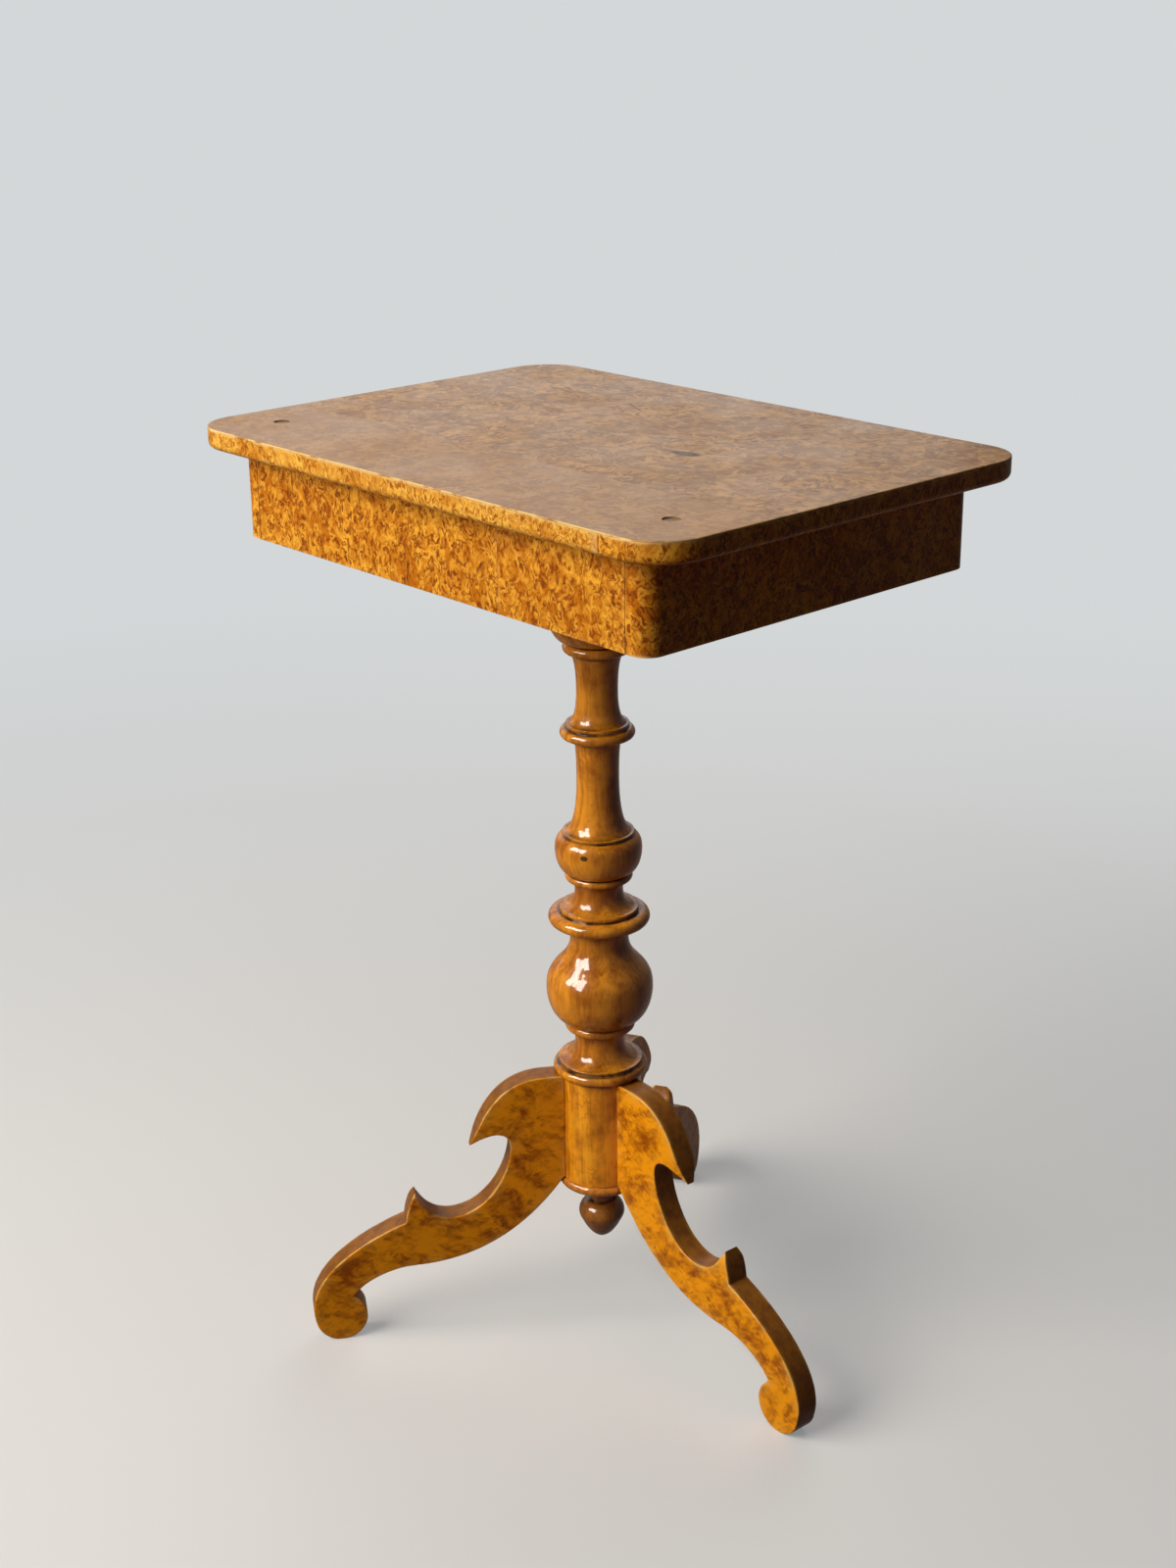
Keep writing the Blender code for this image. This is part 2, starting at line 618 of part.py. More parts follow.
def make_bearers():
    """The front bottom rail, and the bearer from front to back that holds the column."""
    low, high = bearer_tongue_levels()
    length = END_INNER + TONGUE_LENGTH
    front_rail = block(
        "front_bottom_rail",
        (-length, FRONT_RAIL_FRONT, FRIEZE_BOTTOM),
        (length, FRONT_RAIL_BACK, BEARER_TOP),
        PINE,
    )
    half = BEARER_WIDTH / 2
    groove = block(
        "bearer_groove_front",
        (-half - GLUE_LINE, FRONT_RAIL_BACK - TONGUE_LENGTH - GLUE_LINE, low - GLUE_LINE),
        (half + GLUE_LINE, FRONT_RAIL_BACK + TONGUE_LENGTH, high + GLUE_LINE),
    )
    cut(front_rail, groove)

    start, end = FRONT_RAIL_BACK + GLUE_LINE, BACK_INNER - GLUE_LINE
    front_tip, back_tip = FRONT_RAIL_BACK - TONGUE_LENGTH, BACK_INNER + TONGUE_LENGTH
    outline = [(start, FRIEZE_BOTTOM), (end, FRIEZE_BOTTOM), (end, low), (back_tip, low)]
    outline += [(back_tip, high), (end, high), (end, BEARER_TOP), (start, BEARER_TOP)]
    outline += [(start, high), (front_tip, high), (front_tip, low), (start, low)]
    bearer = prism("column_bearer", outline, "x", -half, half, PINE)
    mortise = upright_rod(
        "column_mortise",
        0.0,
        0.0,
        FRIEZE_BOTTOM - BEARER_THICKNESS,
        BEARER_TOP + BEARER_THICKNESS,
        TENON_RADIUS + GLUE_LINE,
        TURNED_SEGMENTS,
    )
    cut(bearer, mortise)


def make_drawer_guides():
    """Runners under the drawer's sides, kickers over them, stops and the rear glue blocks."""
    for side, sign in (("left", -1), ("right", 1)):
        face = END_INNER - GLUE_LINE
        runner_x = sorted((sign * (face - RUNNER_WIDTH), sign * face))
        block(
            f"{side}_runner",
            (runner_x[0], FRONT_RAIL_BACK + GLUE_LINE, FRIEZE_BOTTOM),
            (runner_x[1], BACK_INNER - GLUE_LINE, BEARER_TOP),
            PINE,
        )
        kicker_x = sorted((sign * (face - KICKER_WIDTH), sign * face))
        block(
            f"{side}_kicker",
            (kicker_x[0], FRONT_RAIL_FRONT, KICKER_BOTTOM),
            (kicker_x[1], BACK_INNER - GLUE_LINE, FRIEZE_TOP),
            PINE,
        )
        stop_x = sign * STOP_FROM_CENTRE
        stop_front = DRAWER_FRONT_BACK + GLUE_LINE
        stop_high = DRAWER_BOTTOM_LOW - STOP_CLEARANCE
        block(
            f"{side}_drawer_stop",
            (stop_x - STOP_LENGTH / 2, stop_front, BEARER_TOP + GLUE_LINE),
            (stop_x + STOP_LENGTH / 2, stop_front + STOP_DEPTH, stop_high),
            BIRCH,
        )
        corner_y = BACK_INNER - GLUE_LINE
        triangle = [
            (sign * face, corner_y),
            (sign * (face - GLUE_BLOCK_LEG), corner_y),
            (sign * face, corner_y - GLUE_BLOCK_LEG),
        ]
        block_low, block_high = BEARER_TOP + GLUE_LINE, KICKER_BOTTOM - GLUE_LINE
        prism(f"{side}_glue_block", triangle, "z", block_low, block_high, PINE)


def tails(clearance):
    """Each dovetail of a drawer side, seen from the side: the four corners of its trapezoid."""
    height = DRAWER_SIDE_TOP - DRAWER_SIDE_BOTTOM
    pitch = height / TAIL_COUNT
    tip = DRAWER_FRONT_BACK - TAIL_LENGTH - clearance
    shapes = []
    for i in range(TAIL_COUNT):
        middle = DRAWER_SIDE_BOTTOM + (i + 0.5) * pitch
        end = TAIL_END_WIDTH / 2 + clearance
        root = TAIL_ROOT_WIDTH / 2 + clearance
        shapes.append([(tip, middle - end), (tip, middle + end), (root, middle)])
    return shapes


def drawer_side_outline():
    """A drawer side with its dovetails at the front end."""
    shoulder = DRAWER_FRONT_BACK + GLUE_LINE
    points = [(DRAWER_REAR, DRAWER_SIDE_BOTTOM), (DRAWER_REAR, DRAWER_SIDE_TOP)]
    points.append((shoulder, DRAWER_SIDE_TOP))
    for (tip, low), (_, high), (root, middle) in reversed(tails(0.0)):
        points += [(shoulder, middle + root), (tip, high), (tip, low), (shoulder, middle - root)]
    points.append((shoulder, DRAWER_SIDE_BOTTOM))
    return points


def make_drawer_front(slide):
    front_face = -FRIEZE_HALF_WIDTH
    high = FRIEZE_TOP - DRAWER_TOP_PLAY
    front = block(
        "drawer_front",
        (-DRAWER_HALF_LENGTH, front_face + SKIN, FRIEZE_BOTTOM),
        (DRAWER_HALF_LENGTH, DRAWER_FRONT_BACK, high),
        PINE,
    )
    veneer = block(
        "drawer_front_veneer",
        (-DRAWER_HALF_LENGTH, front_face, FRIEZE_BOTTOM),
        (DRAWER_HALF_LENGTH, front_face + VENEER_THICKNESS, high),
        BURL,
    )
    past = DRAWER_FRONT_BACK + TAIL_LENGTH
    for side, sign in (("left", -1), ("right", 1)):
        inner = DRAWER_SIDE_INNER - GLUE_LINE
        outer = DRAWER_HALF_LENGTH + DRAWER_SIDE_THICKNESS
        for i, (tip_low, tip_high, (root, middle)) in enumerate(tails(GLUE_LINE)):
            outline = [tip_high, tip_low, (DRAWER_FRONT_BACK, middle - root), (past, middle - root)]
            outline += [(past, middle + root), (DRAWER_FRONT_BACK, middle + root)]
            socket_x = sorted((sign * inner, sign * outer))
            cut(front, prism(f"{side}_socket_{i}", outline, "x", socket_x[0], socket_x[1]))
    groove_bottom = DRAWER_FRONT_BACK - DRAWER_GROOVE_DEPTH - GLUE_LINE
    groove = block(
        "bottom_groove_front",
        (-DRAWER_SIDE_INNER, groove_bottom, DRAWER_BOTTOM_LOW - GLUE_LINE),
        (DRAWER_SIDE_INNER, past, DRAWER_BOTTOM_HIGH + GLUE_LINE),
    )
    middle_y = (front_face + SKIN + DRAWER_FRONT_BACK) / 2
    circle = arc((middle_y, FRIEZE_BOTTOM), FINGER_GROOVE_RADIUS, 0, 360, SMALL_SEGMENTS)
    finger_outline = circle[:-1]
    half = FINGER_GROOVE_LENGTH / 2
    cut(front, groove, prism("finger_groove", finger_outline, "x", -half, half))
    front.parent = veneer.parent = slide


def make_drawer_box(slide):
    back_inner = DRAWER_REAR - DRAWER_BACK_THICKNESS
    depth = DRAWER_GROOVE_DEPTH
    outline = drawer_side_outline()
    back_low = DRAWER_BOTTOM_HIGH + GLUE_LINE
    for side, sign in (("left", -1), ("right", 1)):
        side_x = sorted((sign * DRAWER_SIDE_INNER, sign * DRAWER_HALF_LENGTH))
        wall = prism(f"drawer_{side}_side", outline, "x", side_x[0], side_x[1], PINE)
        groove_end = DRAWER_SIDE_INNER + depth + GLUE_LINE
        groove_x = sorted((sign * (DRAWER_SIDE_INNER - depth), sign * groove_end))
        groove = block(
            f"bottom_groove_{side}",
            (groove_x[0], DRAWER_FRONT_BACK - TAIL_LENGTH - depth, DRAWER_BOTTOM_LOW - GLUE_LINE),
            (groove_x[1], DRAWER_REAR + depth, DRAWER_BOTTOM_HIGH + GLUE_LINE),
        )
        housing = block(
            f"back_housing_{side}",
            (groove_x[0], back_inner - GLUE_LINE, DRAWER_BOTTOM_HIGH),
            (groove_x[1], DRAWER_REAR + depth, DRAWER_SIDE_TOP + depth),
        )
        cut(wall, groove, housing)
        wall.parent = slide
    half = DRAWER_SIDE_INNER + depth
    back = block(
        "drawer_back",
        (-half, back_inner, back_low),
        (half, DRAWER_REAR, DRAWER_SIDE_TOP - DRAWER_BACK_LOWERED),
        PINE,
    )
    bottom_outline = [
        (DRAWER_SIDE_INNER - GLUE_LINE, DRAWER_FRONT_BACK - depth),
        (DRAWER_SIDE_INNER - GLUE_LINE, DRAWER_FRONT_BACK + GLUE_LINE),
        (half, DRAWER_FRONT_BACK + GLUE_LINE),
        (half, DRAWER_REAR),
    ]
    bottom_outline += [(-x, y) for x, y in reversed(bottom_outline)]
    bottom = prism("drawer_bottom", bottom_outline, "z", DRAWER_BOTTOM_LOW, DRAWER_BOTTOM_HIGH, PINE)
    back.parent = bottom.parent = slide


def make_drawer():
    """All pieces of the drawer hang on one empty, which slides along -Y."""
    slide = bpy.data.objects.new("drawer_slide", None)
    bpy.context.scene.collection.objects.link(slide)
    make_drawer_front(slide)
    make_drawer_box(slide)


def capital_profile():
    """From the tenon in the bearer down to the ring on the shaft, and the height where it ends."""
    z = FRIEZE_BOTTOM - GLUE_LINE
    points = [(0.0, BEARER_TOP), (TENON_RADIUS, BEARER_TOP), (TENON_RADIUS, z)]
    points += bead(COLLAR_RADIUS, z, COLLAR_HEIGHT)
    z -= COLLAR_HEIGHT
    brim = (BOWL_RADIUS, z - CAPITAL_NECK_HEIGHT)
    dip = (CAPITAL_NECK_RADIUS, z - CAPITAL_NECK_HEIGHT / 2)
    points += shaped(points[-1], FLARE_TO_WAIST, dip)
    points += shaped(dip, WAIST_TO_FLARE, (BOWL_RADIUS - FILLET_STEP, brim[1]))
    z = brim[1] - BOWL_HEIGHT
    points.append(brim)
    points += shaped(brim, BOWL_TO_FOOT, (BOWL_FOOT_RADIUS, z))
    points += bead(CAPITAL_RING_RADIUS, z, CAPITAL_RING_HEIGHT)
    z -= CAPITAL_RING_HEIGHT
    flare = (CAPITAL_RING_RADIUS - CAPITAL_RING_HEIGHT / 2 - FILLET_STEP, z)
    waist = (UPPER_SHAFT_RADIUS, z - UPPER_WAIST_DROP)
    z -= UPPER_SHAFT_HEIGHT
    points.append(flare)
    points += shaped(flare, FLARE_TO_WAIST, waist)
    points += shaped(waist, WAIST_TO_FLARE, (RING_STEP_RADIUS - FILLET_STEP, z))
    points += [(RING_STEP_RADIUS, z), (RING_STEP_RADIUS, z - RING_STEP_HEIGHT)]
    z -= RING_STEP_HEIGHT
    points += bead(RING_RADIUS, z, RING_HEIGHT)
    return points, z - RING_HEIGHT


def column_levels():
    """Heights of the members' lower edges, stacked up from the leg block."""
    stack = (
        ("block", BLOCK_HEIGHT),
        ("base_ring", BASE_RING_HEIGHT),
        ("base_step", BASE_STEP_HEIGHT),
        ("base_neck", BASE_NECK_HEIGHT),
        ("vase_ring", VASE_RING_HEIGHT),
        ("vase", VASE_HEIGHT),
        ("disc_under", DISC_UNDER_HEIGHT),
        ("disc", DISC_HEIGHT),
        ("disc_step", DISC_STEP_HEIGHT),
        ("bulb_neck", BULB_NECK_HEIGHT),
        ("bulb_ring", BULB_RING_HEIGHT),
        ("bulb", BULB_HEIGHT),
        ("shoulder", SHOULDER_HEIGHT),
    )
    levels = {}
    z = BLOCK_BOTTOM
    for name, height in stack:
        levels[name] = z
        z += height
    levels["shaft"] = z
    return levels


def hollow_neck(top, radius, waist_drop, bottom, step_radius, step_bottom):
    """A concave neck under a ring, flaring onto the square step below it."""
    waist = (radius, top - waist_drop)
    points = [(radius + FILLET_STEP, top), waist]
    points += shaped(waist, WAIST_TO_FLARE, (step_radius - FILLET_STEP, bottom))
    return points + [(step_radius, bottom), (step_radius, step_bottom)]


def lower_profile(shaft_top):
    """From the ring on the shaft down to the bottom of the leg block."""
    at = column_levels()
    shaft_foot = at["shaft"]
    top = (SHAFT_RADIUS + FILLET_STEP, shaft_top)
    waist = (SHAFT_RADIUS, shaft_foot + (shaft_top - shaft_foot) * SHAFT_WAIST_SHARE)
    points = [top]
    points += shaped(top, FLARE_TO_WAIST, waist)
    points += shaped(waist, WAIST_TO_FLARE, (SHOULDER_RADIUS - FILLET_STEP, shaft_foot), LONG_CURVE_STEPS)
    points += [(SHOULDER_RADIUS, shaft_foot), (SHOULDER_RADIUS, at["shoulder"])]

    crown = (BULB_SHOULDER_RADIUS, at["shoulder"])
    belly = (BULB_RADIUS, at["bulb"] + BULB_BELLY_HEIGHT)
    points.append(crown)
    points += shaped(crown, CROWN_TO_BELLY, belly)
    points += shaped(belly, BELLY_TO_FOOT, (BULB_FOOT_RADIUS, at["bulb"]))
    points += bead(BULB_RING_RADIUS, at["bulb"], BULB_RING_HEIGHT)
    points += hollow_neck(
        at["bulb_ring"], BULB_NECK_RADIUS, BULB_WAIST_DROP, at["bulb_neck"], DISC_STEP_RADIUS, at["disc_step"]
    )
    points += bead(DISC_RADIUS, at["disc_step"], DISC_HEIGHT)

    under = (DISC_UNDER_RADIUS, at["disc"])
    throat = (VASE_NECK_RADIUS, at["disc_under"])
    belly = (VASE_RADIUS, at["vase"] + VASE_BELLY_HEIGHT)
    points.append(under)
    points += shaped(under, FLARE_TO_WAIST, throat)
    points += shaped(throat, NECK_TO_BELLY, belly, LONG_CURVE_STEPS)
    points += shaped(belly, BELLY_TO_FOOT, (VASE_FOOT_RADIUS, at["vase"]))
    points += bead(VASE_RING_RADIUS, at["vase"], VASE_RING_HEIGHT)
    points += hollow_neck(
        at["vase_ring"], BASE_NECK_RADIUS, BASE_WAIST_DROP, at["base_neck"], BASE_STEP_RADIUS, at["base_step"]
    )
    points += bead(BASE_RING_RADIUS, at["base_step"], BASE_RING_HEIGHT)
    points += [(BLOCK_RADIUS, BLOCK_TOP), (BLOCK_RADIUS, BLOCK_BOTTOM), (0.0, BLOCK_BOTTOM)]
    return points


def leg_turn(number):
    """A leg's turn about the column, which stands a little turned under the top."""
    return math.radians(COLUMN_TURN) + math.tau * number / len(LEG_NAMES)


def dovetail_outline(clearance):
    """Plan of a leg's dovetail pointing along +X: narrow at the block's face, wide inside."""
    inner = BLOCK_RADIUS - LEG_DOVETAIL_DEPTH - clearance
    outer = BLOCK_RADIUS + LEG_ROOT_INSET
    slope = LEG_DOVETAIL_FLARE / LEG_DOVETAIL_DEPTH
    wide = LEG_DOVETAIL_ROOT / 2 + LEG_DOVETAIL_FLARE + clearance
    narrow = LEG_DOVETAIL_ROOT / 2 - slope * LEG_ROOT_INSET + clearance
    return [(inner, -wide), (outer, -narrow), (outer, narrow), (inner, wide)]


def make_column():
    upper, shaft_top = capital_profile()
    column = turned("column", upper + lower_profile(shaft_top), TURNED_SEGMENTS, BIRCH)
    socket_top = LEG_TOP - LEG_DOVETAIL_SHOULDER + GLUE_LINE
    socket = dovetail_outline(GLUE_LINE)
    for i, name in enumerate(LEG_NAMES):
        tool = prism(f"{name}_leg_socket", socket, "z", BLOCK_BOTTOM - LEG_DOVETAIL_DEPTH, socket_top)
        tool.rotation_euler.z = leg_turn(i)
        cut(column, tool)
    hole_low = BLOCK_BOTTOM - SPIGOT_LENGTH
    hole_high = BLOCK_BOTTOM + SPIGOT_LENGTH + GLUE_LINE
    cut(column, upright_rod("spigot_hole", 0.0, 0.0, hole_low, hole_high, SPIGOT_RADIUS + GLUE_LINE))
    reach = TENON_RADIUS * 2
    kerf = block(
        "tenon_kerf",
        (-reach, -KERF_WIDTH / 2, BEARER_TOP - KERF_DEPTH),
        (reach, KERF_WIDTH / 2, BEARER_TOP + KERF_DEPTH),
    )
    cut(column, kerf)
    half = KERF_WIDTH / 2 - GLUE_LINE
    tip = half - WEDGE_TAPER
    tip_height = BEARER_TOP - KERF_DEPTH + GLUE_LINE
    wedge = [(-half, BEARER_TOP), (half, BEARER_TOP), (tip, tip_height), (-tip, tip_height)]
    length = TENON_RADIUS - GLUE_LINE
    prism("tenon_wedge", wedge, "x", -length, length, BIRCH)


def out(point):
    """A leg point given out from the block's face, as a radius from the column's axis."""
    return (BLOCK_RADIUS + point[0], point[1])


def leg_outline():
    """Side view of a sawn leg: arched back, thorn, open C, cusp, S-curve and scroll foot."""
    root = BLOCK_RADIUS - LEG_ROOT_INSET
    start = (BLOCK_RADIUS, LEG_TOP)
    end = (BLOCK_RADIUS, LEG_BOTTOM)
    thorn, hook, low = out(THORN_TIP), out(HOOK_BACK), out(CURVE_LOW)
    cusp, foot, arch = out(CUSP_TIP), out(CUSP_FOOT), out(UNDER_ARCH)
    centre = (BLOCK_RADIUS + SCROLL_CENTRE_OUT, SCROLL_RADIUS - FOOT_FLAT_DEPTH)
    flat = math.degrees(math.acos(centre[1] / SCROLL_RADIUS))
    outer_turn = arc(centre, SCROLL_RADIUS, SCROLL_START_ANGLE, -90 + flat, LEG_STEPS)
    inner_turn = arc(centre, SCROLL_RADIUS, -90 - flat, SCROLL_END_ANGLE, SCROLL_STEPS)
    joining, notch = outer_turn[0], inner_turn[-1]

    points = [(root, LEG_TOP), start]
    points += pulled(start, BACK_PULL, THORN_OUTER_PULL, thorn)
    points += pulled(thorn, THORN_INNER_PULL, HOOK_UPPER_PULL, hook)
    points += pulled(hook, HOOK_LOWER_PULL, LOW_INNER_PULL, low)
    points += pulled(low, LOW_OUTER_PULL, CUSP_INNER_PULL, cusp)
    points += pulled(cusp, CUSP_OUTER_PULL, FOOT_UPPER_PULL, foot, LEG_SHORT_STEPS)
    points += pulled(foot, FOOT_LOWER_PULL, SCROLL_PULL, joining)
    points += outer_turn[1:] + inner_turn
    points += pulled(notch, NOTCH_PULL, ARCH_OUTER_PULL, arch)
    points += pulled(arch, ARCH_INNER_PULL, ROOT_PULL, end)
    points.append((root, LEG_BOTTOM))
    return points


def make_legs():
    """One leg is shaped and coped to the column, and its mesh serves all three."""
    half = LEG_THICKNESS / 2
    body = prism("leg_blank", leg_outline(), "y", -half, half)
    cope = upright_rod("leg_cope", 0.0, 0.0, 0.0, LEG_TOP * 2, BLOCK_RADIUS + GLUE_LINE, TURNED_SEGMENTS)
    tail = prism("leg_dovetail", dovetail_outline(0.0), "z", LEG_BOTTOM, LEG_TOP - LEG_DOVETAIL_SHOULDER)
    cut(body, cope)
    combine(body, tail, "UNION")
    graph = bpy.context.evaluated_depsgraph_get()
    shape = bpy.data.meshes.new_from_object(body.evaluated_get(graph))
    for tool in (body, cope, tail):
        bpy.data.objects.remove(tool, do_unlink=True)
    for i, name in enumerate(LEG_NAMES):
        leg = add_object(f"leg_{name}", shape.copy(), BIRCH)
        leg.rotation_euler.z = leg_turn(i)


def make_pendant():
    """A turned cap that closes the dovetail sockets, with an onion drop below."""
    z = BLOCK_BOTTOM - GLUE_LINE
    spigot_top = z + SPIGOT_LENGTH
    points = [(0.0, spigot_top), (SPIGOT_RADIUS, spigot_top), (SPIGOT_RADIUS, z)]
    points += bead(PENDANT_RING_RADIUS, z, PENDANT_RING_HEIGHT)
    z -= PENDANT_RING_HEIGHT
    neck = (PENDANT_NECK_RADIUS, z - PENDANT_NECK_HEIGHT)
    belly = (PENDANT_BALL_RADIUS, neck[1] - PENDANT_BELLY_DROP)
    tip = (PENDANT_TIP_RADIUS, neck[1] - PENDANT_BALL_HEIGHT)
    points.append((PENDANT_NECK_RADIUS + FILLET_STEP, z))
    points += [(PENDANT_NECK_RADIUS, z - FILLET_STEP), neck]
    points += shaped(neck, DROP_TO_BELLY, belly)
    points += shaped(belly, BELLY_TO_TIP, tip)
    points.append((0.0, tip[1]))
    turned("pendant", points, TURNED_SEGMENTS, BIRCH)


clear_scene()
make_top()
make_end_rails()
make_back_rail()
make_bearers()
make_drawer_guides()
make_drawer()
make_column()
make_legs()
make_pendant()
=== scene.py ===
"""Looks of the pedestal table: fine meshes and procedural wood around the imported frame, in metres."""
import math

import bmesh
import bpy
import numpy as np
from mathutils import Matrix, Vector
from mathutils.geometry import delaunay_2d_cdt


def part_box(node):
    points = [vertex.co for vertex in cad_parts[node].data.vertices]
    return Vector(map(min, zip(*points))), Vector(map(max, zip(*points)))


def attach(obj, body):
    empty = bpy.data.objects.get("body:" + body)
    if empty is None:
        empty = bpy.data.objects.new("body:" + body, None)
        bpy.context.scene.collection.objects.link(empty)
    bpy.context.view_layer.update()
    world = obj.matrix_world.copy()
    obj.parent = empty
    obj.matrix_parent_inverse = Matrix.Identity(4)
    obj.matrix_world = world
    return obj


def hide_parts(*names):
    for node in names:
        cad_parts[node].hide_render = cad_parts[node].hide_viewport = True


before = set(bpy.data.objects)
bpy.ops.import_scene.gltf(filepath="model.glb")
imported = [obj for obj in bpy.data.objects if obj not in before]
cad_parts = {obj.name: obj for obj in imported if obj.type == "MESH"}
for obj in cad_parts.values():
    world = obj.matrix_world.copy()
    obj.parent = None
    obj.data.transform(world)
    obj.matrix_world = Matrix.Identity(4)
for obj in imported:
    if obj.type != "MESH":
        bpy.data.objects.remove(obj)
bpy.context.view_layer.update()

# Sizes that the node boxes don't give
TOP_CORNER_RADIUS = 0.038
FRIEZE_CORNER_RADIUS = 0.014
LIPPING_LOWER_RADIUS = 0.005
TOP_ARRIS = 0.0008
VENEER_ARRIS = 0.0003
END_VENEER_THICKNESS = 0.0012
LEG_ARRIS = 0.0009
THORN_REACH = 0.028
THORN_SHARE = 0.3
CUSP_REACH = 0.012
CUSP_SHARE = 0.6
TURNED_ARRIS = 0.00035
BLOCK_TOP = 0.2275
RING_BOTTOM = 0.1245
NECK_SHOWN = 0.004
SHOULDER_DROP = 0.24
CONE_HOLLOW = 0.08
BORE_RADIUS = 0.0078
SPIGOT_RADIUS = 0.0075
SPIGOT_CLEARANCE = 0.0003
PLUG_CLEARANCE = 0.00015
PLUG_SUNK = 0.0009
PLUG_CHAMFER = 0.0005
PLUG_ARRIS = 0.0003
PLUG_DISH = 0.00008
SEAM = 0.00012
PATCH_WIDTH = 0.0062
HAIRLINE = 0.00006
COLUMN_TURN = -2.4
LEG_TURNS = {"leg_right": 0, "leg_back_left": 120, "leg_front_left": 240}

# Seams between leaves of veneer, along X on the drawer and the back, and along Y elsewhere
DRAWER_SEAM = 0.078
BACK_SEAM = -0.062
END_SEAM = 0.012
TOP_SEAMS = (-0.0813, 0.0535)

# Fineness of the meshes
TURNED_SEGMENTS = 128
TURNED_SPACING = 0.0009
PENDANT_SPACING = TURNED_SPACING * 0.7
PLUG_SEGMENTS = 48
LEG_SPACING = 0.0018
LEG_FACE_SPACING = 0.004
LEG_LAYERS = 9
VENEER_SPACING = 0.006
SECTION_SPACING = 0.0012
CORNER_STEPS = 24
CORNER_TURN = math.radians(50)
STEP_TURN = math.radians(12)
SHADED_SHARP = math.radians(38)

# Angle between two legs at which a turned node's outline is read
OUTLINE_ANGLE = math.radians(60)
OUTLINE_TOLERANCE = 0.004
AXIS_RADIUS = 0.001

# Reach and strength of wear, with a painted highlight on the top's front arris, and of dirt with painted
# shade in the grooves
GROOVE_REACH = 0.0016
WORN_TURN = 2.4
SECTION_WORN = 0.0007
FACE_WORN = 0.003
FACE_WEAR = 0.8
SIDE_SHARE = 0.12
SIDE_WEAR = 0.5
VENEER_WORN = 0.001
VENEER_WEAR = 0.1
PATCH_WEAR = 0.5
# Wear of the top's arris away from the front, without the painted highlight
PLAIN_ARRIS_WEAR = 0.25

# Stretches of wood: how far the figure is moved, and how much further from piece to piece
TOP_LEAF = ((0.37, 0.21, 0.4), (0, 1, 0))
STRAIGHT_LEAF = ((0, 0.17, 0.4), (0.31, 0, 0))
PATCH_LEAF = ((0.77, 0.17, 0.4), (0, 0, 0))
CORNER_LEAF = ((0.23, 0, 0.9), (0, 0.29, 0))
DRAWER_LEAF = ((0, 0.2, 0), (0.35, 0, 0.1))
BACK_LEAF = ((0, 0.7, 0), (0.35, 0, 0.1))
END_LEAF = (0.6, 0.37)
PENDANT_LEAF = ((0.2, 0.1, 0), (0, 0, 0))
LEG_LEAF = ((0, 0, 0), (0.41, 0.13, 0.27))


def cut_from(stretch, number=0):
    """The move of the figure on one of the pieces from a stretch of wood."""
    start, step = stretch
    return tuple(a + b * number for a, b in zip(start, step))


def unit(vectors):
    """Rows of vectors at length 1."""
    lengths = np.linalg.norm(vectors, axis=-1, keepdims=True)
    return vectors / np.maximum(lengths, 1e-12)


def cad_faces(node, turn=0.0):
    """A node's triangles as corner points, turned back by some degrees; shared points are equal."""
    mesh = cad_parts[node].data
    back = Matrix.Rotation(math.radians(-turn), 3, "Z")
    points = [tuple(round(c, 6) for c in back @ v.co) for v in mesh.vertices]
    return [[points[i] for i in p.vertices] for p in mesh.polygons]


def sides(face):
    """The edges of a face."""
    return zip(face, face[1:] + face[:1])


def in_order(links, start):
    """Points from the start along their links, each once."""
    path = [start]
    seen = {start}
    while True:
        ahead = [p for p in links[path[-1]] if p not in seen]
        if not ahead:
            return path
        path.append(min(ahead, key=lambda p: math.dist(p, path[-1])))
        seen.add(path[-1])


def turned_outline(node, top):
    """Radius and height along a turned node from a height down."""
    links = {}
    for face in cad_faces(node):
        for a, b in sides(face):
            ends = []
            for x, y, z in (a, b):
                radius = math.hypot(x, y)
                off = abs(math.atan2(y, x) - OUTLINE_ANGLE)
                if off < OUTLINE_TOLERANCE and radius > AXIS_RADIUS and z < top:
                    ends.append((round(radius, 5), z))
            if len(ends) == 2:
                links.setdefault(ends[0], set()).add(ends[1])
                links.setdefault(ends[1], set()).add(ends[0])
    ends = [p for p in links if len(links[p]) == 1]
    return in_order(links, max(ends, key=lambda p: p[1]))


def flat_outline(node_faces, height):
    """The outline of the flat face at one y, as x and z, counter-clockwise."""
    count = {}
    for face in node_faces:
        if all(abs(y - height) < 1e-5 for x, y, z in face):
            for a, b in sides(face):
                edge = frozenset(((a[0], a[2]), (b[0], b[2])))
                count[edge] = count.get(edge, 0) + 1
    links = {}
    for edge, times in count.items():
        if times == 1:
            a, b = edge
            links.setdefault(a, set()).add(b)
            links.setdefault(b, set()).add(a)
    path = in_order(links, min(links))
    area = sum(a[0] * b[1] - b[0] * a[1] for a, b in sides(path))
    return path if area > 0 else path[::-1]


def turns(points):
    """The signed turn at each point inside a path, and whether it is a corner."""
    steps = np.diff(points, axis=0)
    angle = np.arctan2(steps[:, 1], steps[:, 0])
    turn = (np.diff(angle) + math.pi) % math.tau - math.pi
    length = np.linalg.norm(steps, axis=1)
    ratio = np.maximum(length[1:] / length[:-1], length[:-1] / length[1:])
    corner = (abs(turn) > CORNER_TURN) | ((ratio > 4) & (abs(turn) > STEP_TURN))
    return turn, corner


